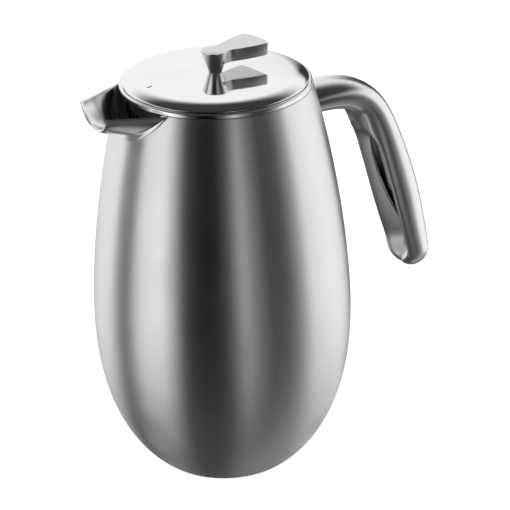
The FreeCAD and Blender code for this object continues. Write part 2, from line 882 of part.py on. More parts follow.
# ---------------------------------------------------------------- knob, rod and filter


def make_knob(press):
    """Flared stem with the flat paddle on it, in one piece."""
    reach, half_end, shoulder = press.paddle_reach, press.paddle_end_half_width, press.paddle_shoulder
    body = turned(
        press,
        "knob",
        [
            (press.rod_radius, press.waist_bottom),
            (press.waist_radius, press.waist_bottom),
            (press.knob_radius, press.knob_top - press.knob_edge),
            (press.knob_radius, press.knob_top),
            (0, press.knob_top),
            (0, press.rod_top),
            (press.rod_radius, press.rod_top),
        ],
    )
    neck_half = press.knob_radius * 0.8
    neck_out = press.knob_radius * 1.25
    corner_out = reach - press.paddle_end_bow
    sketch = sketch_on(body, "XY_Plane", "paddle_outline", press.paddle_bottom)
    draw(
        sketch,
        [
            (0, -neck_half),
            (neck_out, -neck_half),
            (shoulder, -half_end),
            (corner_out, -half_end, -(half_end * 2.4)),
            (corner_out, half_end),
            (shoulder, half_end),
            (neck_out, neck_half),
            (0, neck_half),
        ],
    )
    pad = body.newObject("PartDesign::Pad", "paddle")
    pad.Profile = sketch
    bind(pad, "Length", press.paddle_thickness)
    bend = press.paddle_underside_radius
    rise = press.paddle_thickness - press.paddle_lip
    run = (bend * bend - (bend - rise) * (bend - rise)).root()
    below = press.paddle_bottom - press.paddle_lip
    sketch = sketch_on(body, "XZ_Plane", "paddle_underside")
    draw(
        sketch,
        [
            (reach - run, below),
            (reach + press.paddle_lip, below),
            (reach + press.paddle_lip, press.paddle_bottom + rise),
            (reach, press.paddle_bottom + rise, bend),
            (reach - run, press.paddle_bottom),
        ],
    )
    pocket(body, sketch, "paddle_underside_cut", 4 * half_end, both=True)
    sketch = circle_sketch(body, "rod_hole", 0, 0, press.rod_radius, press.rod_top)
    pocket(body, sketch, "rod_hole_cut", press.rod_engagement)
    bind(body, "Placement.Rotation.Angle", press.paddle_turn)
    body.Placement.Rotation.Axis = Vector(0, 0, 1)


def make_plunger_rod(press):
    edge = press.stack_clearance * 3
    turned(
        press,
        "plunger_rod",
        [
            (0, press.rod_bottom),
            (press.rod_radius - edge, press.rod_bottom),
            (press.rod_radius, press.rod_bottom + edge),
            (press.rod_radius, press.rod_top),
            (0, press.rod_top),
        ],
    )


def make_rod_collar(press):
    radius, height = press.collar_radius, press.collar_height
    blank = primitive(
        press,
        "Part::Cylinder",
        "rod_collar_blank",
        {"Radius": radius, "Height": height},
        press.spreader_top,
    )
    bore = primitive(
        press,
        "Part::Cylinder",
        "rod_collar_bore",
        {"Radius": press.rod_radius, "Height": height},
        press.spreader_top,
    )
    cut_from(press, "rod_collar", blank, bore)


def make_spreader_plate(press):
    """Perforated disc over the mesh."""
    body = turned(
        press,
        "spreader_plate",
        [
            (press.rod_radius, press.mesh_top),
            (press.spreader_radius, press.mesh_top),
            (press.spreader_radius, press.spreader_top + press.coil_radius),
            (press.spreader_radius - press.plate_thickness, press.spreader_top + press.coil_radius),
            (press.spreader_radius - press.plate_thickness, press.spreader_top),
            (press.rod_radius, press.spreader_top),
        ],
    )
    for number, (ring, count) in enumerate(SPREADER_RINGS, start=1):
        share = press.spreader_radius * (ring / 36.0)
        name = f"drain_{number}"
        sketch = circle_sketch(body, name, share, 0, press.drain_radius, press.cross_bottom)
        hole = pocket(body, sketch, f"{name}_hole", press.collar_height, reverse=True)
        pattern = body.newObject("PartDesign::PolarPattern", f"{name}_ring")
        pattern.Originals = [hole]
        pattern.Axis = (sketch, ["N_Axis"])
        pattern.Angle = 360
        pattern.Occurrences = count
        body.Tip = pattern


def make_edge_coil(press):
    """Outer form of the fine closed coil that presses the mesh outwards."""
    coil = primitive(
        press,
        "Part::Torus",
        "edge_coil",
        {"Radius1": press.coil_centre, "Radius2": press.coil_radius},
        press.mesh_top + press.coil_radius,
    )
    press.node(coil, "edge_coil")


def make_mesh_screen(press):
    """Woven disc with a turned-up edge."""
    inner = press.mesh_radius - press.mesh_thickness
    turned(
        press,
        "mesh_screen",
        [
            (press.rod_radius, press.mesh_bottom),
            (press.mesh_radius, press.mesh_bottom),
            (press.mesh_radius, press.mesh_bottom + press.mesh_edge),
            (inner, press.mesh_bottom + press.mesh_edge),
            (inner, press.mesh_top),
            (press.rod_radius, press.mesh_top),
        ],
    )


def make_cross_plate(press):
    """Disc with wide windows that leave eight arms and a hoop."""
    body = turned(
        press,
        "cross_plate",
        [
            (press.rod_radius, press.cross_bottom),
            (press.spreader_radius, press.cross_bottom),
            (press.spreader_radius, press.mesh_bottom),
            (press.rod_radius, press.mesh_bottom),
        ],
    )
    near = press.collar_radius * 2
    far = press.spreader_radius - press.collar_radius
    slope = math.tan(math.pi / CROSS_ARMS)
    arm = press.drain_radius
    sketch = sketch_on(body, "XY_Plane", "cross_window", press.beaker_floor)
    draw(
        sketch,
        [
            (near, -(near * slope - arm)),
            (far, -(far * slope - arm)),
            (far, far * slope - arm),
            (near, near * slope - arm),
        ],
    )
    window = pocket(body, sketch, "cross_window_cut", press.filter_clearance * 2, reverse=True)
    pattern = body.newObject("PartDesign::PolarPattern", "cross_arms")
    pattern.Originals = [window]
    pattern.Axis = (sketch, ["N_Axis"])
    pattern.Angle = 360
    pattern.Occurrences = CROSS_ARMS
    body.Tip = pattern


# ---------------------------------------------------------------- checks and files


def check(press):
    """Stop on any failed object, or a sub-part without a sound shape."""
    for item in press.doc.Objects:
        if "Invalid" in item.State or "Error" in item.State:
            raise RuntimeError(f"{item.Label} failed to build: {item.State}")
    for item in press.nodes:
        shape = item.Shape
        if shape.isNull() or not shape.isValid() or not shape.Solids:
            raise RuntimeError(f"{item.Label} has no valid solid")


def main():
    press = Press()
    make_outer_shell(press)
    make_inner_beaker(press)
    make_rim_band(press)
    make_spout_throat(press)
    make_spout(press)
    make_base_cap(press)
    make_foot_pad(press)
    make_handle(press)
    make_lid_top(press)
    make_lid_skirt(press)
    make_lid_gasket(press)
    make_lid_sleeve(press)
    hex_nut(
        press, "lid_nut", press.stud_radius, press.nut_spread, press.nut_height, press.nut_bottom
    )
    make_rod_bush(press)
    make_knob(press)
    make_plunger_rod(press)
    make_rod_collar(press)
    make_spreader_plate(press)
    make_edge_coil(press)
    make_mesh_screen(press)
    make_cross_plate(press)
    hex_nut(
        press,
        "hub_nut",
        press.rod_radius,
        press.hub_nut_spread,
        press.hub_nut_height,
        press.hub_nut_bottom,
    )
    press.doc.recompute()
    check(press)
    os.makedirs("parts", exist_ok=True)
    for item in press.nodes:
        item.Shape.exportStep(f"parts/{item.Label}.step")
        print(f"{item.Label}: {item.Shape.Volume:.0f} mm3, {len(item.Shape.Solids)} solid")


main()
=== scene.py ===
"""Steel coffee press: detailed pieces, finishes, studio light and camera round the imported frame."""

import logging
import math
from collections.abc import Sequence
from dataclasses import dataclass, field
from enum import Enum

import bmesh
import bpy
from mathutils import Matrix, Vector


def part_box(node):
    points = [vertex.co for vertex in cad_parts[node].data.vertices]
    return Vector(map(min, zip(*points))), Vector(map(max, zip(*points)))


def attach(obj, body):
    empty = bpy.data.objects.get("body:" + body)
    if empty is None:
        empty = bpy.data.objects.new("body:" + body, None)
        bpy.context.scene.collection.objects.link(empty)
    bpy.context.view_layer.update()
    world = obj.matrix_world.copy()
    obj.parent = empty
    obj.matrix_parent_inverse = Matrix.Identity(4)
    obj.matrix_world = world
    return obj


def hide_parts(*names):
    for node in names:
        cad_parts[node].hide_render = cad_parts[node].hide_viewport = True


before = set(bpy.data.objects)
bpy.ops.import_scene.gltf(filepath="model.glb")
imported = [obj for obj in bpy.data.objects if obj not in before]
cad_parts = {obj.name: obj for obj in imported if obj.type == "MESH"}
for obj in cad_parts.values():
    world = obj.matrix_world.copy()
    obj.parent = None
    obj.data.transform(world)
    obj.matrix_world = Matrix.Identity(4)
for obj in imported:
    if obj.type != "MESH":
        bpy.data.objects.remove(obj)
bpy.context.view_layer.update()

LOG = logging.getLogger("coffee_press")
MM = 0.001
FULL_TURN = 2 * math.pi
WELD = 2e-6

Colour = tuple[float, float, float]
Outline = Sequence[tuple[float, float]]
Panels = tuple[tuple[float, float], ...]
Piece = bpy.types.Object
Material = bpy.types.Material
Socket = bpy.types.NodeSocket
Span = tuple[float, float]


# ---- finishes

# Where most of the noise lies, and the cells per metre of slow changes and of clouds.
NOISE: Span = (0.3, 0.7)
SLOW_CELLS = 18.0
CLOUD_CELLS = 45.0


class Grain(Enum):
    """How the fine lines of a metal surface lie, by the axes that they change quickly along."""

    ROUND = (False, False, True)
    ALONG = (False, True, True)
    PLAIN = (True, True, True)
    RINGS = ()


class Board:
    """A node tree with short calls for the nodes that are used most."""

    def __init__(self, tree: bpy.types.NodeTree) -> None:
        """Takes over a tree and empties it."""
        self.tree = tree
        tree.nodes.clear()

    def add(self, kind: str, **settings: object) -> bpy.types.Node:
        """Adds a node and sets its properties.

        Args:
            kind: The node's Blender type.
            settings: Properties to set on it.

        Returns:
            The new node.
        """
        node = self.tree.nodes.new(kind)
        for key, value in settings.items():
            setattr(node, key, value)
        return node

    def link(self, source: Socket, target: Socket) -> None:
        """Joins two sockets."""
        self.tree.links.new(source, target)

    def math(self, operation: str, first: Socket, second: Socket | float) -> Socket:
        """One step of arithmetic.

        Args:
            operation: Blender's name for the operation.
            first: The first value.
            second: The second value, a socket or a number.

        Returns:
            The result's socket.
        """
        node = self.add("ShaderNodeMath", operation=operation)
        self.link(first, node.inputs[0])
        if isinstance(second, float):
            node.inputs[1].default_value = second
        else:
            self.link(second, node.inputs[1])
        return node.outputs[0]

    def spread(
        self, value: Socket, source: Span, target: Span = (0.0, 1.0), **settings: object
    ) -> Socket:
        """Maps one range to another.

        Args:
            value: The value to map.
            source: Its own range.
            target: The result's range.
            settings: Properties of the node.

        Returns:
            The mapped value.
        """
        node = self.add("ShaderNodeMapRange", **settings)
        for name, number in zip(("From Min", "From Max", "To Min", "To Max"), (*source, *target)):
            node.inputs[name].default_value = number
        self.link(value, node.inputs["Value"])
        return node.outputs["Result"]

    def ramp(self, value: Socket, stops: Sequence[tuple[float, Colour]]) -> Socket:
        """Colours along a value.

        Args:
            value: The value, between 0 and 1.
            stops: Places and colours in rising order.

        Returns:
            The colour's socket.
        """
        node = self.add("ShaderNodeValToRGB")
        elements = node.color_ramp.elements
        while len(elements) < len(stops):
            elements.new(1.0)
        for element, (place, colour) in zip(elements, stops):
            element.position = place
            element.color = (*colour, 1.0)
        self.link(value, node.inputs["Fac"])
        return node.outputs["Color"]


class NodeBoard(Board):
    """A material's board, with the patterns that the finishes use."""

    def __init__(self, name: str) -> None:
        """Starts a material with an empty board.

        Args:
            name: The material's name.
        """
        self.material = bpy.data.materials.new(name)
        self.material.use_nodes = True
        super().__init__(self.material.node_tree)
        output = self.add("ShaderNodeOutputMaterial")
        self.shader = self.add("ShaderNodeBsdfPrincipled")
        self.link(self.shader.outputs["BSDF"], output.inputs["Surface"])
        self.place = self.add("ShaderNodeTexCoord").outputs["Object"]

    def stretched(self, scale: tuple[float, float, float]) -> Socket:
        """Object coordinates, scaled per axis.

        Args:
            scale: Cells per metre along X, Y and Z.

        Returns:
            The scaled vector.
        """
        mapping = self.add("ShaderNodeMapping")
        mapping.inputs["Scale"].default_value = scale
        self.link(self.place, mapping.inputs["Vector"])
        return mapping.outputs["Vector"]

    def rings(self, slow: float, lines: float) -> Socket:
        """Coordinates whose third part grows with the distance from the upright axis.

        Args:
            slow: Cells per metre of the slow change round the ring.
            lines: Cells per metre from ring to ring.

        Returns:
            The vector for a ringed pattern.
        """
        flat = self.add("ShaderNodeVectorMath", operation="MULTIPLY")
        flat.inputs[1].default_value = (1.0, 1.0, 0.0)
        self.link(self.place, flat.inputs[0])
        reach = self.add("ShaderNodeVectorMath", operation="LENGTH")
        self.link(flat.outputs["Vector"], reach.inputs[0])
        parts = self.add("ShaderNodeSeparateXYZ")
        self.link(self.place, parts.inputs[0])
        joined = self.add("ShaderNodeCombineXYZ")
        for index, (source, scale) in enumerate(
            ((parts.outputs["X"], slow), (parts.outputs["Y"], slow), (reach.outputs["Value"], lines))
        ):
            self.link(self.math("MULTIPLY", source, scale), joined.inputs[index])
        return joined.outputs["Vector"]

    def noise(self, vector: Socket, scale: float, detail: float = 2.0) -> Socket:
        """Soft noise between 0 and 1.

        Args:
            vector: Where it is read.
            scale: Cells per unit of the vector.
            detail: Finer layers.

        Returns:
            The noise value.
        """
        node = self.add("ShaderNodeTexNoise")
        node.inputs["Scale"].default_value = scale
        node.inputs["Detail"].default_value = detail
        self.link(vector, node.inputs["Vector"])
        return node.outputs["Fac"]

    def tint(self, value: Socket, dark: Colour, light: Colour) -> None:
        """Base colour between two tones, over the noise's usual range."""
        self.link(self.ramp(value, tuple(zip(NOISE, (dark, light)))), self.shader.inputs["Base Color"])

    def bump(self, height: Socket, relief: float) -> None:
        """Surface relief.

        Args:
            height: Height between 0 and 1.
            relief: What a height of 1 stands for, in metres.
        """
        node = self.add("ShaderNodeBump")
        node.inputs["Distance"].default_value = relief
        self.link(height, node.inputs["Height"])
        self.link(node.outputs["Normal"], self.shader.inputs["Normal"])

    def rough(self, value: Socket, roughness: float, swing: float) -> Socket:
        """A roughness that swings with noise to both sides."""
        return self.spread(value, NOISE, (roughness - swing, roughness + swing))


def shaded(colour: Colour, share: float) -> Colour:
    """A share of a colour."""
    return tuple(share * tone for tone in colour)


@dataclass(frozen=True)
class Steel:
    """A steel surface: its tone, its gloss and the fine lines that working it left."""

    name: str
    colour: Colour
    roughness: float
    grain: Grain = Grain.PLAIN
    lines: float = 3000.0
    relief: float = 2e-6
    spread: float = 0.0
    smudge: float = 0.03

    def material(self) -> Material:
        """Makes the finish.

        Returns:
            The material.
        """
        board = NodeBoard(self.name)
        clouds = board.noise(board.place, CLOUD_CELLS, 3.0)
        if self.grain is Grain.RINGS:
            vector = board.rings(SLOW_CELLS, self.lines)
        else:
            cells = tuple(self.lines if fast else SLOW_CELLS for fast in self.grain.value)
            vector = board.stretched(cells)
        lines = board.noise(vector, 1.0, 3.0)
        tone = board.math("ADD", board.math("MULTIPLY", clouds, 0.6), board.math("MULTIPLY", lines, 0.4))
        board.tint(tone, shaded(self.colour, 0.94), self.colour)
        rough = board.rough(clouds, self.roughness, self.smudge)
        fine = board.rough(lines, 0.0, self.smudge / 2)
        board.link(board.math("ADD", rough, fine), board.shader.inputs["Roughness"])
        board.bump(lines, self.relief)
        board.shader.inputs["Metallic"].default_value = 1.0
        if self.spread:
            tangent = board.add("ShaderNodeTangent", direction_type="RADIAL", axis="Z")
            board.link(tangent.outputs["Tangent"], board.shader.inputs["Tangent"])
            board.shader.inputs["Anisotropic"].default_value = self.spread
            board.shader.inputs["Anisotropic Rotation"].default_value = 0.25
        return board.material


@dataclass(frozen=True)
class WireCloth:
    """Woven stainless wire."""

    name: str
    colour: Colour
    pitch: float

    def material(self) -> Material:
        """Makes the finish.

        Returns:
            The material.
        """
        board = NodeBoard(self.name)
        parts = board.add("ShaderNodeSeparateXYZ")
        board.link(board.place, parts.inputs[0])
        turn = math.pi / self.pitch
        warp = board.math("SINE", board.math("MULTIPLY", parts.outputs["X"], turn), 0.0)
        weft = board.math("SINE", board.math("MULTIPLY", parts.outputs["Y"], turn), 0.0)
        over = board.math("ABSOLUTE", board.math("MULTIPLY", warp, weft), 0.0)
        board.tint(over, shaded(self.colour, 0.35), self.colour)
        board.bump(over, self.pitch / 4)
        clouds = board.noise(board.place, 90.0)
        board.link(board.spread(clouds, NOISE, (0.26, 0.38)), board.shader.inputs["Roughness"])
        board.shader.inputs["Metallic"].default_value = 1.0
        return board.material


@dataclass(frozen=True)
class Moulded:
    """A moulded plastic or rubber surface."""

    name: str
    colour: Colour
    roughness: float
    grain: float
    relief: float

    def material(self) -> Material:
        """Makes the finish.

        Returns:
            The material.
        """
        board = NodeBoard(self.name)
        fine = board.noise(board.place, self.grain, 3.0)
        clouds = board.noise(board.place, 60.0)
        board.tint(clouds, shaded(self.colour, 0.8), self.colour)
        board.link(board.rough(clouds, self.roughness, 0.06), board.shader.inputs["Roughness"])
        board.bump(fine, self.relief)
        return board.material

SATIN_SHELL = Steel("satin_shell", (0.80, 0.80, 0.80), 0.32, Grain.ROUND, 5200.0, 1.2e-6, 0.94)
RIM_POLISH = Steel("rim_polish", (0.84, 0.84, 0.84), 0.14, Grain.ROUND, 3000.0, 4e-7, 0.3)
LID_POLISH = Steel("lid_polish", (0.88, 0.88, 0.875), 0.06, Grain.RINGS, 1500.0, 1.5e-7, smudge=0.015)
KNOB_POLISH = Steel("knob_polish", (0.70, 0.70, 0.70), 0.24, Grain.PLAIN, 1400.0, 3e-7)
SPOUT_POLISH = Steel("spout_polish", (0.82, 0.82, 0.82), 0.16, Grain.ALONG, 2200.0, 6e-7)
WELD_BEAD = Steel("weld_bead", (0.88, 0.88, 0.88), 0.16, Grain.PLAIN, 900.0, 6e-6)
HANDLE_POLISH = Steel("handle_polish", (0.80, 0.80, 0.805), 0.20, Grain.PLAIN, 700.0, 2.5e-7, smudge=0.02)
DRAWN_INSIDE = Steel("drawn_inside", (0.70, 0.70, 0.70), 0.30, Grain.ROUND, 3600.0, 1.5e-6, 0.5)
ROD_STEEL = Steel("rod_steel", (0.82, 0.82, 0.82), 0.16, Grain.ROUND, 4000.0, 8e-7)
STAMPED_PLATE = Steel("stamped_plate", (0.74, 0.74, 0.74), 0.26, Grain.RINGS, 3000.0, 1.2e-6)
COIL_WIRE = Steel("coil_wire", (0.76, 0.76, 0.77), 0.20, Grain.PLAIN, 3000.0, 6e-7)
MESH_CLOTH = WireCloth("mesh_cloth", (0.62, 0.62, 0.62), 0.45 * MM)
MARK_INLAY = Moulded("mark_inlay", (0.05, 0.05, 0.05), 0.5, 2500.0, 2e-6)
BLACK_PLASTIC = Moulded("black_plastic", (0.030, 0.030, 0.033), 0.42, 2600.0, 6e-6)
SEAL_SILICONE = Moulded("seal_silicone", (0.06, 0.06, 0.065), 0.55, 1800.0, 4e-6)
NATURAL_NYLON = Moulded("natural_nylon", (0.72, 0.70, 0.64), 0.38, 1800.0, 4e-6)
FOOT_RUBBER = Moulded("foot_rubber", (0.028, 0.028, 0.03), 0.62, 2200.0, 9e-6)


# ---- work on the bench


def put_down() -> None:
    """Leaves edit mode and deselects everything, so that the next step acts on its own piece."""
    if bpy.context.mode != "OBJECT":
        bpy.ops.object.mode_set(mode="OBJECT")
    bpy.ops.object.select_all(action="DESELECT")


def take(piece: Piece) -> None:
    """Makes one piece the only selected and the active one.

    Args:
        piece: The piece to work on.
    """
    put_down()
    piece.select_set(True)
    bpy.context.view_layer.objects.active = piece


def name_piece(name: str) -> Piece:
    """Names the piece that was just added.

    Args:
        name: Its name.

    Returns:
        The piece.
    """
    piece = bpy.context.active_object
    piece.name = name
    piece.data.name = name
    return piece


def put_in_scene(name: str, data: bpy.types.ID) -> Piece:
    """Adds an object with its data to the scene.

    Args:
        name: The object's name.
        data: Its curve, light or camera.

    Returns:
        The object.
    """
    thing = bpy.data.objects.new(name, data)
    bpy.context.scene.collection.objects.link(thing)
    return thing


def edge_line(name: str, points: Sequence[Vector]) -> Piece:
    """Extrudes one vertex from point to point and stays in edit mode.

    Args:
        name: The piece's name.
        points: The line's points.

    Returns:
        The piece, in edit mode.
    """
    put_down()
    bpy.ops.mesh.primitive_plane_add(size=MM, location=(0.0, 0.0, 0.0))
    piece = name_piece(name)
    bpy.ops.object.mode_set(mode="EDIT")
    bpy.ops.mesh.select_mode(type="VERT")
    bpy.ops.mesh.merge(type="CENTER")
    bpy.ops.transform.translate(value=points[0])
    for last, point in zip(points, points[1:]):
        bpy.ops.mesh.extrude_region_move(TRANSFORM_OT_translate={"value": point - last})
    bpy.ops.mesh.select_all(action="SELECT")
    return piece


def close_up() -> None:
    """Merges doubles, turns the normals outwards and leaves edit mode."""
    bpy.ops.mesh.select_all(action="SELECT")
    bpy.ops.mesh.remove_doubles(threshold=WELD)
    bpy.ops.mesh.normals_make_consistent(inside=False)
    bpy.ops.object.mode_set(mode="OBJECT")


def turn_outline(name: str, outline: Outline, steps: int = 192) -> Piece:
    """Spins a closed outline round the upright axis, as on a lathe.

    Args:
        name: The piece's name.
        outline: Radius and height of each corner, in metres.
        steps: Parts of the full turn.

    Returns:
        The turned piece.
    """
    points = [Vector((radius, 0.0, height)) for radius, height in outline]
    piece = edge_line(name, [*points, points[0]])
    bpy.ops.mesh.remove_doubles(threshold=WELD)
    bpy.ops.mesh.spin(steps=steps, angle=FULL_TURN, center=(0.0, 0.0, 0.0), axis=(0.0, 0.0, 1.0))
    close_up()
    return piece


def loft_rings(name: str, rings: Sequence[Sequence[Vector]], closed: bool = True) -> Piece:
    """Extrudes a ring of edges from station to station.

    Args:
        name: The piece's name.
        rings: One list of points for each station, all of one length.
        closed: Whether each ring closes on itself.

    Returns:
        The lofted surface.
    """
    count = len(rings[0])
    put_down()
    bpy.ops.mesh.primitive_circle_add(vertices=count, radius=MM, location=(0.0, 0.0, 0.0))
    piece = name_piece(name)
    order = piece.data.attributes.new("order", "INT", "POINT")
    order.data.foreach_set("value", range(count))
    bpy.ops.object.mode_set(mode="EDIT")
    bpy.ops.mesh.select_mode(type="EDGE")
    mesh = bmesh.from_edit_mesh(piece.data)
    if not closed:
        layer = mesh.verts.layers.int["order"]
        for edge in mesh.edges:
            edge.select_set({vert[layer] for vert in edge.verts} == {0, count - 1})
        bmesh.update_edit_mesh(piece.data)
        bpy.ops.mesh.delete(type="EDGE")
        bpy.ops.mesh.select_all(action="SELECT")
    for number, ring in enumerate(rings):
        if number:
            bpy.ops.mesh.extrude_region_move()
        mesh = bmesh.from_edit_mesh(piece.data)
        layer = mesh.verts.layers.int["order"]
        for vert in mesh.verts:
            if vert.select:
                vert.co = ring[vert[layer]]
        bmesh.update_edit_mesh(piece.data)
    close_up()
    piece.data.attributes.remove(piece.data.attributes["order"])
    return piece


def cap_ends(piece: Piece) -> None:
    """Closes the open ends of a lofted piece, each with one face.

    Args:
        piece: The piece.
    """
    take(piece)
    bpy.ops.object.mode_set(mode="EDIT")
    bpy.ops.mesh.select_mode(type="EDGE")
    bpy.ops.mesh.select_all(action="DESELECT")
    bpy.ops.mesh.select_non_manifold()
    bpy.ops.mesh.edge_face_add()
    close_up()


def settle(piece: Piece) -> None:
    """Applies every modifier of a piece, first to last.

    Args:
        piece: The piece.
    """
    take(piece)
    for modifier in list(piece.modifiers):
        bpy.ops.object.modifier_apply(modifier=modifier.name)


def round_edges(piece: Piece, width: float, angle: float) -> None:
    """Rounds the edges that are sharper than an angle.

    Args:
        piece: The piece.
        width: How far the rounding reaches from the edge.
        angle: Smallest angle that is rounded, in degrees.
    """
    bevel = piece.modifiers.new("rounding", "BEVEL")
    bevel.width = width
    bevel.segments = 3
    bevel.limit_method = "ANGLE"
    bevel.angle_limit = math.radians(angle)
    bevel.use_clamp_overlap = True
    settle(piece)


def thicken(piece: Piece, wall: float) -> None:
    """Gives a surface its wall, inwards from its outside.

    Args:
        piece: The surface.
        wall: The wall's thickness.
    """
    solid = piece.modifiers.new("wall", "SOLIDIFY")
    solid.thickness = wall
    solid.offset = -1.0
    solid.use_even_offset = True
    settle(piece)


class Joining(Enum):
    """How a tool acts on a piece."""

    CUT = "DIFFERENCE"
    JOIN = "UNION"


def combine(piece: Piece, tool: Piece, joining: Joining) -> None:
    """Cuts a tool out of a piece, or joins it on, and clears the tool away.

    Args:
        piece: The piece that stays.
        tool: The shape that is used up.
        joining: Whether it is cut out or joined on.
    """
    cut = piece.modifiers.new("tool", "BOOLEAN")
    cut.object = tool
    cut.operation = joining.value
    cut.solver = "EXACT"
    settle(piece)
    bpy.data.objects.remove(tool)


def smooth(piece: Piece, angle: float = 35.0) -> None:
    """Shades a piece smooth, with edges sharper than the angle in degrees left sharp."""
    take(piece)
    bpy.ops.object.shade_smooth_by_angle(angle=math.radians(angle))


def arc(centre: Span, radius: float, start: float, end: float, steps: int) -> list[Span]:
    """Points on an arc of an outline, between two angles in degrees from outwards."""
    angles = [math.radians(start + (end - start) * step / steps) for step in range(steps + 1)]
    return [(centre[0] + radius * math.cos(turn), centre[1] + radius * math.sin(turn)) for turn in angles]


def face_down(piece: Piece) -> None:
    """Turns a trough's faces downwards and outwards, so that its wall grows inwards.

    Args:
        piece: The trough, as an open surface.
    """
    take(piece)
    lowest = min(piece.data.polygons, key=lambda face: face.center.z)
    if lowest.normal.z > 0:
        bpy.ops.object.mode_set(mode="EDIT")
        bpy.ops.mesh.select_all(action="SELECT")
        bpy.ops.mesh.flip_normals()
        bpy.ops.object.mode_set(mode="OBJECT")


def sweep(name: str, path: Sequence[Vector], radius: float) -> Piece:
    """A round bar along a path.

    Args:
        name: The piece's name.
        path: The bar's centre line.
        radius: Its radius.

    Returns:
        The bar as a mesh.
    """
    curve = bpy.data.curves.new(name, "CURVE")
    curve.dimensions = "3D"
    curve.bevel_depth = radius
    curve.bevel_resolution = 3
    curve.use_fill_caps = True
    spline = curve.splines.new("POLY")
    spline.points.add(len(path) - 1)
    for point, place in zip(spline.points, path):
        point.co = (*place, 1.0)
    take(put_in_scene(name, curve))
    bpy.ops.object.convert(target="MESH")
    bar = name_piece(name)
    smooth(bar, 60.0)
    return bar


Finish = Steel | WireCloth | Moulded


class Workshop:
    """Keeps the finishes and fits out each piece with its finish, its body and what it stands for."""

    def __init__(self) -> None:
        """Starts with no finish made."""
        self.made: dict[str, Material] = {}

    def material(self, finish: Finish) -> Material:
        """The finish's material, made the first time that it is asked for.

        Args:
            finish: The finish.

        Returns:
            Its material.
        """
        if finish.name not in self.made:
            self.made[finish.name] = finish.material()
        return self.made[finish.name]

    def fit(
        self,
        piece: Piece,
        finish: Finish,
        body: str,
        slot: str,
        stands_for: Sequence[str] = (),
    ) -> Piece:
        """Dresses a new piece and lets it ride on its body.

        Args:
            piece: The piece.
            finish: Its finish.
            body: The body that it moves with.
            slot: The record's material slot; not used.
            stands_for: The nodes that it replaces.

        Returns:
            The piece.
        """
        piece.data.materials.clear()
        piece.data.materials.append(self.material(finish))
        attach(piece, body)
        if stands_for:
            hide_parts(*stands_for)
        LOG.info("%s: %d faces, on %s", piece.name, len(piece.data.polygons), body)
        return piece

    def carry(self, finish: Finish, *nodes: str) -> None:
        """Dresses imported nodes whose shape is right, with smooth faces and crisp edges.

        Args:
            finish: Their finish.
            nodes: The nodes' names.
        """
        for node in nodes:
            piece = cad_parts[node]
            piece.data.materials.clear()
            piece.data.materials.append(self.material(finish))
            piece.data.polygons.foreach_set("use_smooth", [True] * len(piece.data.polygons))
            weld = piece.modifiers.new("joined", "WELD")
            weld.merge_threshold = WELD
            split = piece.modifiers.new("crisp", "EDGE_SPLIT")
            split.split_angle = math.radians(30.0)
            LOG.info("%s: carried over", node)


@dataclass
class SubAssembly:
    """Pieces that belong together, with the workshop that fits them out."""

    shop: Workshop


# ---- jug


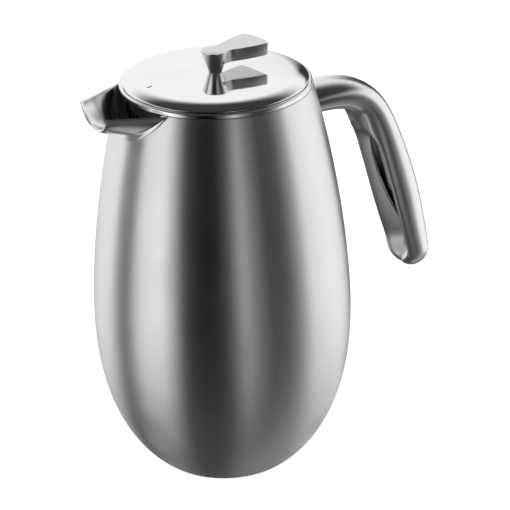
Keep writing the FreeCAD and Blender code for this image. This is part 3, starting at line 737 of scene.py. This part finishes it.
@dataclass
class Jug(SubAssembly):
    """Double wall, rim, pouring spout and foot."""

    belly: float = 63.0 * MM
    belly_height: float = 77.8 * MM
    upper_power: float = 1.6
    lower_power: float = 2.31
    neck: float = 44.5 * MM
    base: float = 37.3 * MM
    shell_wall: float = 1.0 * MM
    shell_steps: int = 72
    window_radius: float = 23.9 * MM
    window_bottom: float = 180.3 * MM
    window_place: float = -55 * MM
    window_depth: float = 40 * MM
    rim_inset: float = 0.4 * MM
    rim_bore: float = 41.0 * MM
    rim_seat: float = 43.5 * MM
    rim_groove: float = 0.35 * MM
    rim_corner: float = 0.6 * MM
    rim_sheet: float = 0.8 * MM
    spout_root: float = -37.3 * MM
    spout_reach: float = 16.5 * MM
    spout_root_radius: float = 26.3 * MM
    spout_root_depth: float = 15.5 * MM
    spout_tip_radius: float = 14.3 * MM
    spout_tip_depth: float = 8.8 * MM
    spout_wall: float = 1.0 * MM
    spout_overlap: float = 0.15 * MM
    spout_stations: int = 22
    spout_around: int = 40
    lip_start: float = 0.8
    lip_length: float = 0.2
    lip_drop: float = 0.5 * MM
    bead: float = 0.45 * MM
    foot_radius: float = 33.9 * MM
    foot_top: float = 2.0 * MM
    foot_edge: float = 0.6 * MM
    foot_groove: float = 0.5 * MM
    foot_border: Span = (1.7 * MM, 2.2 * MM)
    foot_rings: tuple[float, ...] = (12 * MM, 20 * MM, 28 * MM)
    foot_ring_half: Span = (1.9 * MM, 2.4 * MM)
    shell_low: float = field(init=False)
    shell_top: float = field(init=False)
    rim: float = field(init=False)

    def __post_init__(self) -> None:
        """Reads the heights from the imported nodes."""
        self.shell_low, self.shell_top = (corner.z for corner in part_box("outer_shell"))
        self.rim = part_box("rim_band")[1].z

    def radius_at(self, height: float) -> float:
        """Outside radius of the jug.

        Args:
            height: Height above the table.

        Returns:
            The radius there.
        """
        upper = height > self.belly_height
        power = self.upper_power if upper else self.lower_power
        end_radius, end_height = (self.neck, self.shell_top) if upper else (self.base, 0.0)
        drawn_in = (1 - (end_radius / self.belly) ** power) ** (1 / power)
        reach = abs(end_height - self.belly_height) / drawn_in
        share = abs(height - self.belly_height) / reach
        return self.belly * (1 - share**power) ** (1 / power)

    def build(self) -> None:
        """Makes every piece of the jug."""
        self.build_shell()
        self.build_rim()
        self.build_spout()
        self.build_foot()
        self.shop.carry(DRAWN_INSIDE, "inner_beaker", "spout_throat", "base_cap", "handle_bracket")

    def build_shell(self) -> None:
        """Turns the egg-shaped wall and cuts the pouring window."""
        low, top, steps = self.shell_low, self.shell_top, self.shell_steps
        heights = [low + (top - low) * step / steps for step in range(steps + 1)]
        outside = [(self.radius_at(height), height) for height in heights]
        inside = [(radius - self.shell_wall, height) for radius, height in reversed(outside)]
        shell = turn_outline("shell", outside + inside)
        put_down()
        bpy.ops.mesh.primitive_cylinder_add(
            vertices=128,
            radius=self.window_radius,
            depth=self.window_depth,
            location=(self.window_place, 0.0, self.window_bottom + self.window_radius),
            rotation=(0.0, math.pi / 2, 0.0),
        )
        combine(shell, name_piece("window_tool"), Joining.CUT)
        smooth(shell)
        self.shop.fit(shell, SATIN_SHELL, "vessel", "satin_shell", ["outer_shell"])

    def build_rim(self) -> None:
        """Turns the polished ring on the rim, with the fine groove under it."""
        outer, groove, corner = self.neck - self.rim_inset, self.rim_groove, self.rim_corner
        low, top, under = self.shell_top, self.rim, self.rim - self.rim_sheet
        outline = [(self.rim_seat, low), (outer - groove, low), (outer, low + groove)]
        outline += arc((outer - corner, top - corner), corner, 0.0, 90.0, 6)
        outline += [(self.rim_bore, top), (self.rim_bore, under), (self.rim_seat, under)]
        ring = turn_outline("rim_ring", outline)
        smooth(ring)
        self.shop.fit(ring, RIM_POLISH, "vessel", "polished_steel", ["rim_band"])

    def spout_ring(self, share: float) -> list[Vector]:
        """One station of the spout, from its root on the neck to its flared lip.

        Args:
            share: 0 at the neck, 1 at the lip.

        Returns:
            Points from one top edge down and up to the other.
        """
        tip = -(self.neck + self.spout_reach)
        lip = max(share - self.lip_start, 0.0) / self.lip_length
        radius = self.spout_root_radius + (self.spout_tip_radius - self.spout_root_radius) * share
        depth = self.spout_root_depth + (self.spout_tip_depth - self.spout_root_depth) * share
        depth -= self.lip_drop * lip * lip
        half = math.acos(1 - depth / radius) if depth < radius else math.pi / 2
        reach = self.spout_root + (tip - self.spout_root) * share
        points = []
        for step in range(self.spout_around + 1):
            angle = half * (2 * step / self.spout_around - 1)
            wide = radius * math.sin(angle)
            height = self.shell_top - depth + radius * (1 - math.cos(angle))
            neck = math.sqrt(max(self.radius_at(min(height, self.shell_top)) ** 2 - wide * wide, 0.0))
            points.append(Vector((min(reach, self.spout_overlap - neck), wide, height)))
        return points

    def build_spout(self) -> None:
        """Draws the open trough from the neck to the lip, with a weld bead where it meets the shell."""
        stations = self.spout_stations
        rings = [self.spout_ring(step / stations) for step in range(stations + 1)]
        spout = loft_rings("spout_trough", rings, closed=False)
        face_down(spout)
        thicken(spout, self.spout_wall)
        round_edges(spout, 0.3 * MM, 60.0)
        smooth(spout)
        self.shop.fit(spout, SPOUT_POLISH, "vessel", "spout_steel", ["spout"])
        bead = sweep("spout_weld", [self.on_neck(point) for point in rings[0]], self.bead)
        self.shop.fit(bead, WELD_BEAD, "vessel", "spout_steel")

    def on_neck(self, point: Vector) -> Vector:
        """The nearest place on the shell at a point's height and width."""
        radius = self.radius_at(min(point.z, self.shell_top))
        return Vector((-math.sqrt(radius * radius - point.y * point.y), point.y, point.z))

    def build_foot(self) -> None:
        """Turns the rubber foot with three shallow grip rings on its underside."""
        outer, top, edge, groove = self.foot_radius, self.foot_top, self.foot_edge, self.foot_groove
        flat, sloped = self.foot_ring_half
        near, far = self.foot_border
        outline = [(0.0, groove)]
        for middle in self.foot_rings:
            outline += [(middle - sloped, groove), (middle - flat, 0.0)]
            outline += [(middle + flat, 0.0), (middle + sloped, groove)]
        outline += [(outer - far, groove), (outer - near, 0.0), (outer - edge, 0.0)]
        outline += [(outer, edge), (outer, top), (0.0, top)]
        foot = turn_outline("foot", outline, 96)
        smooth(foot)
        self.shop.fit(foot, FOOT_RUBBER, "vessel", "foot_rubber", ["foot_pad"])


# ---- handle


@dataclass
class Handle(SubAssembly):
    """Two polished pressings with a valley and a lens-shaped opening on their inner side."""

    jug: Jug
    line: tuple[tuple[float, float], ...] = (
        (-4.0, 20.0),
        (14.6, 19.5),
        (31.3, 23.7),
        (45.8, 47.6),
        (53.8, 71.3),
        (61.9, 98.0),
        (70.3, 125.7),
    )
    widths: tuple[float, float, float] = (12.6 * MM, 13.6 * MM, 12.4 * MM)
    depths: tuple[float, float, float] = (6.4 * MM, 11.8 * MM, 9.4 * MM)
    wall: float = 1.2 * MM
    tip_length: float = 12.0 * MM
    valley: float = 0.8 * MM
    slot_half_width: float = 5.2 * MM
    root_reach: float = 45.5 * MM
    opening: Span = (0.36, 0.8)
    opens: Span = (0.2, 0.46)
    fades: Span = (0.88, 1.0)
    flank_slope: float = 0.55
    flank_blend: float = 0.17
    power: float = 2.3
    fullest: float = 0.68
    stations: int = 44
    around: int = 96
    knots: list[float] = field(init=False)
    places: list[Vector] = field(init=False)

    def __post_init__(self) -> None:
        """Samples the centre line finely by its length."""
        neck, rim = self.jug.neck, self.jug.rim
        corners = [Vector((neck + out * MM, 0.0, rim - down * MM)) for out, down in self.line]
        self.places = self.spline(corners, 40)
        self.knots = [0.0]
        for last, place in zip(self.places, self.places[1:]):
            self.knots.append(self.knots[-1] + (place - last).length)

    @staticmethod
    def spline(corners: Sequence[Vector], parts: int) -> list[Vector]:
        """A smooth line through the corners, with slopes that make its bend change steadily.

        Args:
            corners: Where the line passes.
            parts: Samples between two corners.

        Returns:
            The sampled line.
        """
        count = len(corners)
        spans = [(b - a).length for a, b in zip(corners, corners[1:])]
        bends = [Vector((0.0, 0.0, 0.0)) for _ in corners]
        for _ in range(60):
            for index in range(1, count - 1):
                before, after = spans[index - 1], spans[index]
                here = corners[index]
                pull = 6 * ((corners[index + 1] - here) / after - (here - corners[index - 1]) / before)
                rest = before * bends[index - 1] + after * bends[index + 1]
                bends[index] = (pull - rest) / (2 * (before + after))
        line = []
        for index, span in enumerate(spans):
            for step in range(parts + (index == count - 2)):
                b = step / parts
                a = 1 - b
                curve = ((a**3 - a) * bends[index] + (b**3 - b) * bends[index + 1]) * span * span / 6
                line.append(a * corners[index] + b * corners[index + 1] + curve)
        return line

    def at(self, stop: float) -> tuple[Vector, Vector]:
        """Place and direction on the centre line.

        Args:
            stop: Length from the root.

        Returns:
            The place and the unit direction there.
        """
        index = max(i for i, knot in enumerate(self.knots[:-1]) if knot <= stop + 1e-12)
        share = (stop - self.knots[index]) / (self.knots[index + 1] - self.knots[index])
        place = self.places[index].lerp(self.places[index + 1], share)
        low, high = max(index - 1, 0), min(index + 2, len(self.places) - 1)
        return place, (self.places[high] - self.places[low]).normalized()

    @staticmethod
    def eased(share: float, start: float, end: float) -> float:
        """Smooth step from 0 at start to 1 at end."""
        place = min(max((share - start) / (end - start), 0.0), 1.0)
        return 0.5 - 0.5 * math.cos(math.pi * place)

    def along(self, values: tuple[float, float, float], share: float) -> float:
        """Smooth value at a share of the length, from its root, fullest and end values."""
        root, fullest, end = values
        return (
            root
            + (fullest - root) * self.eased(share, 0.0, self.fullest)
            + (end - fullest) * self.eased(share, self.fullest, 1.0)
        )

    def ring(self, stop: float, inset: float) -> list[Vector]:
        """One station: an oval with a valley along its inner side.

        Args:
            stop: Length from the root.
            inset: How far inside the handle's outside.

        Returns:
            The station's points.
        """
        length = self.knots[-1]
        straight = length - self.tip_length
        closing = min(max(stop - straight, 0.0) / self.tip_length, 1.0)
        scale = math.sqrt(max(1 - closing * closing, 0.0))
        share = stop / length
        half_width = max(self.along(self.widths, share) * scale - inset, 0.0)
        half_depth = max(self.along(self.depths, share) * scale - inset, 0.0)
        closed = 2 * self.depths[1]
        valley = closed + (self.valley - closed) * self.eased(share, *self.opens)
        valley += (self.depths[2] - self.valley) * self.eased(share, *self.fades)
        valley = valley * scale - inset
        centre, direction = self.at(stop)
        deep = Vector((0.0, 1.0, 0.0)).cross(direction).normalized()
        points = []
        for step in range(self.around):
            angle = FULL_TURN * step / self.around
            side, out = math.sin(angle), math.cos(angle)
            wide = half_width * abs(side) ** (2 / self.power)
            depth = half_depth * abs(out) ** (2 / self.power)
            if out < 0:
                flank = valley + self.flank_slope * wide
                blend = math.hypot(depth - flank, self.flank_blend * half_depth)
                depth = -0.5 * (depth + flank - blend)
            points.append(centre + Vector((0.0, math.copysign(wide, side), 0.0)) - deep * depth)
        return points

    def form(self, name: str, inset: float) -> Piece:
        """The handle's outer form, or with an inset the hollow in it.

        Args:
            name: The form's name.
            inset: How far inside the handle's outside.

        Returns:
            The closed form.
        """
        length = self.knots[-1]
        straight = length - self.tip_length
        first = next(knot for knot, place in zip(self.knots, self.places) if place.x > self.root_reach)
        if inset:
            first -= 2 * MM
        stops = [first + (straight - first) * step / self.stations for step in range(self.stations + 1)]
        tip_steps = 14
        turns = [math.pi / 2 * step / tip_steps for step in range(1, tip_steps + 1)]
        tip = [straight + self.tip_length * math.sin(turn) for turn in turns]
        stops += [stop for stop in tip if not inset or stop < length - 2.2 * self.wall]
        form = loft_rings(name, [self.ring(min(stop, length), inset) for stop in stops])
        cap_ends(form)
        return form

    def build(self) -> None:
        """Draws the handle, hollows it and cuts the opening."""
        handle = self.form("handle", 0.0)
        combine(handle, self.form("hollow", self.wall), Joining.CUT)
        combine(handle, self.opening_tool(), Joining.CUT)
        smooth(handle, 40.0)
        halves = ["handle_left_half", "handle_right_half"]
        self.shop.fit(handle, HANDLE_POLISH, "vessel", "handle_steel", halves)

    def opening_tool(self) -> Piece:
        """A lens-shaped bar that reaches from inside the grip towards the jug.

        Returns:
            The cutting tool.
        """
        start, _ = self.at(self.knots[-1] * self.opening[0])
        end, _ = self.at(self.knots[-1] * self.opening[1])
        inward = Vector((0.0, 1.0, 0.0)).cross(end - start).normalized()
        inward = -inward if inward.x > 0 else inward
        shift = inward * -2 * self.wall
        steps = 32
        lens = []
        for side in (1, -1):
            for step in range(steps):
                share = step / steps if side > 0 else 1 - step / steps
                bow = self.slot_half_width * side * 4 * share * (1 - share)
                lens.append(start.lerp(end, share) + shift + Vector((0.0, bow, 0.0)))
        reach = inward * 3 * self.depths[1]
        tool = loft_rings("opening_tool", [lens, [point + reach for point in lens]])
        cap_ends(tool)
        return tool


# ---- lid


@dataclass
class Lid(SubAssembly):
    """Domed lid, the plastic insert under it with its sleeve and nut, and the seal."""

    radius: float = 42.6 * MM
    sheet: float = 0.8 * MM
    dome: float = 900.0 * MM
    shoulder: float = 16.0 * MM
    shoulder_reach: float = 7.8 * MM
    hole: float = 2.3 * MM
    corner: float = 0.3 * MM
    brim: float = 0.45 * MM
    foot: float = 0.2 * MM
    steps: int = 48
    mark_place: float = -33.5 * MM
    mark_size: tuple[float, float, float] = (2.4 * MM, 1.0 * MM, 0.4 * MM)
    mark_sink: float = 0.12 * MM
    low: float = field(init=False)
    middle: float = field(init=False)

    def __post_init__(self) -> None:
        """Reads the lid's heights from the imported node."""
        self.low, self.middle = (corner.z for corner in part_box("lid_top"))

    def surface(self, radius: float, depth: float) -> float:
        """Height of the lid's sheet at a radius.

        Args:
            radius: Distance from the axis.
            depth: How far below the sheet's top.

        Returns:
            The height there.
        """
        start = self.radius - self.shoulder_reach
        drop = self.dome - math.sqrt((self.dome - self.shoulder) ** 2 - start * start)
        if radius > start * (self.dome - depth) / (self.dome - self.shoulder):
            return self.middle - drop + math.sqrt((self.shoulder - depth) ** 2 - (radius - start) ** 2)
        return self.middle - self.dome + math.sqrt((self.dome - depth) ** 2 - radius * radius)

    def build(self) -> None:
        """Makes every piece of the lid."""
        self.build_top()
        self.build_mark()
        self.shop.carry(BLACK_PLASTIC, "lid_skirt")
        self.shop.carry(SEAL_SILICONE, "lid_gasket")
        self.shop.carry(ROD_STEEL, "lid_sleeve", "lid_nut")
        self.shop.carry(NATURAL_NYLON, "rod_bush")

    def build_top(self) -> None:
        """Turns the domed sheet with its shoulder and upright edge."""
        inner, corner = self.radius - self.sheet, self.corner
        span = self.radius - corner - self.hole
        radii = [self.hole + span * step / self.steps for step in range(self.steps + 1)]
        top = [(radius, self.surface(radius, 0.0)) for radius in radii]
        brim, foot = self.low + self.brim, inner + self.foot
        edge = [(self.radius, self.surface(self.radius, 0.0) - corner), (self.radius, brim)]
        below = [radius for radius in reversed(radii) if radius < inner]
        under = [(foot, brim), (foot, self.low), (inner, self.low)]
        under += [(radius, self.surface(radius, self.sheet)) for radius in (inner, *below)]
        lid = turn_outline("lid_dome", [*top, *edge, *under])
        smooth(lid)
        self.shop.fit(lid, LID_POLISH, "lid", "polished_steel", ["lid_top"])

    def build_mark(self) -> None:
        """Sinks a short dash into the dome that points to the spout."""
        place, length = self.mark_place, self.mark_size[0]
        drop = self.surface(-place - length / 2, 0.0) - self.surface(-place + length / 2, 0.0)
        put_down()
        bpy.ops.mesh.primitive_cube_add(
            size=1.0,
            location=(place, 0.0, self.surface(-place, 0.0) - self.mark_sink),
            rotation=(0.0, -math.atan2(drop, length), 0.0),
            scale=self.mark_size,
        )
        mark = name_piece("pour_mark")
        bpy.ops.object.transform_apply(location=True, rotation=True, scale=True)
        round_edges(mark, 0.15 * MM, 60.0)
        smooth(mark)
        self.shop.fit(mark, MARK_INLAY, "lid", "black_plastic")


# ---- plunger


@dataclass
class Plunger(SubAssembly):
    """Knob, rod and the stack of filter plates."""

    hub: float = 6.2 * MM
    waist: float = 3.1 * MM
    reach: float = 26.2 * MM
    end_half: float = 9.0 * MM
    end_bow: float = 2.2 * MM
    thickness: float = 5.6 * MM
    lip: float = 3.0 * MM
    underside: float = 5.0 * MM
    shoulder: float = 21.6 * MM
    turn: float = 10.0
    root: float = 1.0 * MM
    root_share: float = 0.8
    flare_bend: float = 1.2
    flare_end: float = 1.15
    rod: float = 2.0 * MM
    rod_depth: float = 7.0 * MM
    rim: float = 0.5 * MM
    stations: int = 24
    across: int = 12
    wire: float = 0.28 * MM
    coil_turns: int = 150
    coil_steps: int = 12
    low: float = field(init=False)
    top: float = field(init=False)

    def __post_init__(self) -> None:
        """Reads the knob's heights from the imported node."""
        self.low, self.top = (corner.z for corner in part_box("knob"))

    def build(self) -> None:
        """Makes every piece of the plunger."""
        self.build_knob()
        self.build_coil()
        self.shop.carry(ROD_STEEL, "plunger_rod", "rod_collar", "hub_nut")
        self.shop.carry(STAMPED_PLATE, "spreader_plate", "cross_plate")
        self.shop.carry(MESH_CLOTH, "mesh_screen")

    def paddle_station(self, share: float) -> list[Vector]:
        """One upright section of the paddle.

        Args:
            share: 0 inside the hub, 1 at the end.

        Returns:
            The section's corners, from the near top round the underside to the far top.
        """
        corner = self.reach - self.end_bow
        out = self.root + (corner - self.root) * share
        neck, bend = self.root_share * self.hub, self.underside
        flare = max((out - self.hub) / (self.shoulder - self.hub), 0.0)
        widening = math.tanh(self.flare_bend * flare) / math.tanh(self.flare_bend * self.flare_end)
        half = neck + (self.end_half - neck) * widening
        turned = self.reach - math.sqrt(bend**2 - (bend - self.thickness + self.lip) ** 2)
        points = []
        for row in range(2):
            for step in range(self.across + 1):
                across = (2 * step / self.across - 1) * (1 if row else -1)
                place = out + self.end_bow * (1 - across * across) * share**3
                past = max(place - turned, 0.0)
                rise = bend - math.sqrt(max(bend * bend - past * past, 0.0))
                height = self.top - (self.thickness - rise) * row
                points.append(Vector((place, -across * half, height)))
        return points

    def build_knob(self) -> None:
        """Turns the flared hub, joins the paddle to it and rounds the edges."""
        low, top, hub, rod, stations = self.low, self.top, self.hub, self.rod, self.stations
        outline = [(rod, low), (self.waist, low), (hub, top - self.rim), (hub, top), (0.0, top)]
        outline += [(0.0, low + self.rod_depth), (rod, low + self.rod_depth)]
        knob = turn_outline("knob_hub", outline, 96)
        sections = [self.paddle_station(step / stations) for step in range(stations + 1)]
        paddle = loft_rings("paddle", sections)
        cap_ends(paddle)
        combine(knob, paddle, Joining.JOIN)
        take(knob)
        knob.rotation_euler.z = math.radians(self.turn)
        bpy.ops.object.transform_apply(location=False, rotation=True, scale=False)
        round_edges(knob, 0.3 * MM, 40.0)
        smooth(knob, 30.0)
        knob = name_piece("knob_paddle")
        self.shop.fit(knob, KNOB_POLISH, "plunger", "knob_steel", ["knob"])

    def build_coil(self) -> None:
        """Winds the fine spring that seals the filter against the beaker."""
        low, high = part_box("edge_coil")
        section = (high.z - low.z) / 2 - self.wire
        ring = high.x - section - self.wire
        middle = (high.z + low.z) / 2
        count = self.coil_turns * self.coil_steps
        path = []
        for step in range(count + 1):
            round_ring = FULL_TURN * step / count
            round_wire = FULL_TURN * step / self.coil_steps
            radius = ring + section * math.cos(round_wire)
            height = middle + section * math.sin(round_wire)
            path.append(Vector((radius * math.cos(round_ring), radius * math.sin(round_ring), height)))
        coil = sweep("filter_coil", path, self.wire)
        self.shop.fit(coil, COIL_WIRE, "plunger", "coil_steel", ["edge_coil"])


# ---- studio


@dataclass(frozen=True)
class SoftBox:
    """A rectangular studio light that faces the press."""

    name: str
    bearing: float
    height: float
    distance: float
    width: float
    tall: float
    radiance: float

    def build(self, camera_bearing: float) -> None:
        """Places the light.

        Args:
            camera_bearing: The camera's bearing round the press, in degrees.
        """
        angle = math.radians(camera_bearing + self.bearing)
        place = Vector((math.sin(angle), -math.cos(angle), 0.0)) * self.distance
        place.z = self.height
        light = bpy.data.lights.new(self.name, "AREA")
        light.shape = "RECTANGLE"
        light.size = self.width
        light.size_y = self.tall
        light.energy = self.radiance * math.pi * self.width * self.tall
        lamp = put_in_scene(self.name, light)
        lamp.location = place
        lamp.rotation_euler = (Vector((0.0, 0.0, 0.1)) - place).to_track_quat("-Z", "Y").to_euler()
        lamp.visible_camera = False
        lamp.visible_glossy = False


@dataclass(frozen=True)
class Band:
    """One level of the surround: the heights where it takes over, and brightness by bearing."""

    start: float
    full: float
    panels: Panels


SKY: Panels = (
    (-150, 1.02), (-110, 1.00), (-84, 0.95), (-66, 0.60), (-50, 0.12), (-20, 0.05),
    (20, 0.06), (44, 0.16), (62, 0.20), (78, 0.50), (96, 1.00), (150, 1.02), (209.9, 1.02),
)
OVERHEAD = Band(0.45, 0.78, ((-150, 0.05), (0, 0.03), (100, 0.04), (209.9, 0.05)))
HORIZON = Band(
    0.40,
    0.28,
    (
        (-150, 1.02), (-110, 1.00), (-103, 0.18), (-86, 0.18), (-78, 1.00), (-52, 1.25),
        (-42, 0.55), (-34, 0.05), (-18, 0.004), (-2, 0.004), (9, 0.12), (21, 0.60),
        (31, 0.24), (44, 0.045), (62, 0.05), (76, 0.30), (86, 0.98), (112, 1.15),
        (140, 1.00), (154, 0.04), (169, 0.04), (177, 0.93), (182, 1.02), (209.9, 1.02),
    ),
)
KNEE = Band(
    -0.26,
    -0.42,
    (
        (-150, 0.55), (-138, 0.95), (-108, 1.05), (-101, 0.22), (-83, 0.22), (-76, 1.10),
        (-52, 1.40), (-42, 0.90), (-34, 0.20), (-28, 0.03), (-18, 0.001), (-2, 0.001),
        (7, 0.03), (20, 0.46), (31, 0.26), (44, 0.06), (58, 0.06), (72, 0.32), (84, 1.05),
        (118, 1.20), (138, 1.00), (152, 0.10), (168, 0.03), (192, 0.03), (209.9, 0.55),
    ),
)
GROUND = Band(
    -0.44,
    -0.72,
    ((-150, 0.07), (-60, 0.08), (0, 0.08), (50, 0.12), (100, 0.42), (150, 0.22), (209.9, 0.07)),
)


@dataclass
class Studio:
    """Pale table, soft lights and the camera."""

    bearing: float = -30.0
    elevation: float = 27.55
    roll: float = -1.11
    distance: float = 0.700
    target: tuple[float, float, float] = (14.2 * MM, -8.2 * MM, 105.1 * MM)
    lens: float = 102.0
    lights: tuple[SoftBox, ...] = (
        SoftBox("overhead_box", 20.0, 1.6, 0.4, 1.4, 1.4, 0.8),
        SoftBox("side_box", 112.0, 0.6, 1.3, 1.0, 1.0, 0.6),
    )
    sky: Panels = SKY
    bands: tuple[Band, ...] = (OVERHEAD, HORIZON, KNEE, GROUND)
    sensor: float = 36.0
    table_radius: float = 6.0
    table_drop: float = 0.2 * MM
    table_glow: float = 0.85

    def build(self) -> None:
        """Makes the camera, the table and the lights."""
        self.build_camera()
        self.build_table()
        self.build_surroundings()
        for light in self.lights:
            light.build(self.bearing)

    def build_camera(self) -> None:
        """Sets the camera at its viewing angle."""
        turn, rise, roll = (math.radians(value) for value in (self.bearing, self.elevation, self.roll))
        back = Vector((math.sin(turn) * math.cos(rise), -math.cos(turn) * math.cos(rise), math.sin(rise)))
        right = Vector((math.cos(turn), math.sin(turn), 0.0))
        up = back.cross(right)
        rolled_right = right * math.cos(roll) + up * math.sin(roll)
        rolled_up = up * math.cos(roll) - right * math.sin(roll)
        data = bpy.data.cameras.new("camera")
        data.lens = self.lens
        data.sensor_width = self.sensor
        camera = put_in_scene("camera", data)
        facing = Matrix((rolled_right, rolled_up, back)).transposed().to_4x4()
        camera.matrix_world = Matrix.Translation(Vector(self.target) + back * self.distance) @ facing
        bpy.context.scene.camera = camera

    def build_table(self) -> None:
        """Lays the plain pale table, which lends no reflection of its own."""
        put_down()
        bpy.ops.mesh.primitive_circle_add(
            vertices=96, radius=self.table_radius, fill_type="NGON", location=(0.0, 0.0, -self.table_drop)
        )
        table = name_piece("table")
        board = NodeBoard("pale_table")
        board.tint(board.noise(board.place, 3.0), (0.90, 0.90, 0.90), (0.92, 0.92, 0.92))
        board.shader.inputs["Roughness"].default_value = 0.9
        board.shader.inputs["Emission Color"].default_value = (1.0, 1.0, 1.0, 1.0)
        board.shader.inputs["Emission Strength"].default_value = self.table_glow
        table.data.materials.append(board.material)
        table.visible_glossy = False
        table.visible_shadow = False

    def tones(self, panels: Panels) -> list[tuple[float, Colour]]:
        """The panels as places on the full circle and greys."""
        places = sorted(((angle + self.bearing + 180.0) / 360.0, tone) for angle, tone in panels)
        return [(place, (tone, tone, tone)) for place, tone in places]

    def build_surroundings(self) -> None:
        """Pale soft panels round the press that the steel reflects, plain and pale behind it."""
        world = bpy.data.worlds.new("room")
        bpy.context.scene.world = world
        world.use_nodes = True
        board = Board(world.node_tree)
        parts = board.add("ShaderNodeSeparateXYZ")
        board.link(board.add("ShaderNodeTexCoord").outputs["Generated"], parts.inputs[0])
        forward = board.math("MULTIPLY", parts.outputs["Y"], -1.0)
        bearing = board.math("ARCTAN2", parts.outputs["X"], forward)
        share = board.spread(bearing, (-math.pi, math.pi))
        colour = board.ramp(share, self.tones(self.sky))
        for band in self.bands:
            levels = (band.start, band.full)
            reach = board.spread(parts.outputs["Z"], levels, interpolation_type="SMOOTHSTEP")
            blend = board.add("ShaderNodeMix", data_type="RGBA")
            board.link(reach, blend.inputs["Factor"])
            board.link(colour, blend.inputs["A"])
            board.link(board.ramp(share, self.tones(band.panels)), blend.inputs["B"])
            colour = blend.outputs["Result"]
        room = board.add("ShaderNodeBackground")
        board.link(colour, room.inputs["Color"])
        pale = board.add("ShaderNodeBackground")
        pale.inputs["Color"].default_value = (1.0, 1.0, 1.0, 1.0)
        mix = board.add("ShaderNodeMixShader")
        board.link(board.add("ShaderNodeLightPath").outputs["Is Camera Ray"], mix.inputs["Fac"])
        board.link(room.outputs[0], mix.inputs[1])
        board.link(pale.outputs[0], mix.inputs[2])
        board.link(mix.outputs[0], board.add("ShaderNodeOutputWorld").inputs["Surface"])
        bpy.context.scene.view_settings.view_transform = "Standard"


def main() -> None:
    """Builds the press and its studio in order."""
    logging.basicConfig(level=logging.INFO, format="%(name)s: %(message)s")
    shop = Workshop()
    jug = Jug(shop)
    for group in (jug, Handle(shop, jug), Lid(shop), Plunger(shop), Studio()):
        group.build()
    put_down()


if __name__ == "__main__":
    main()
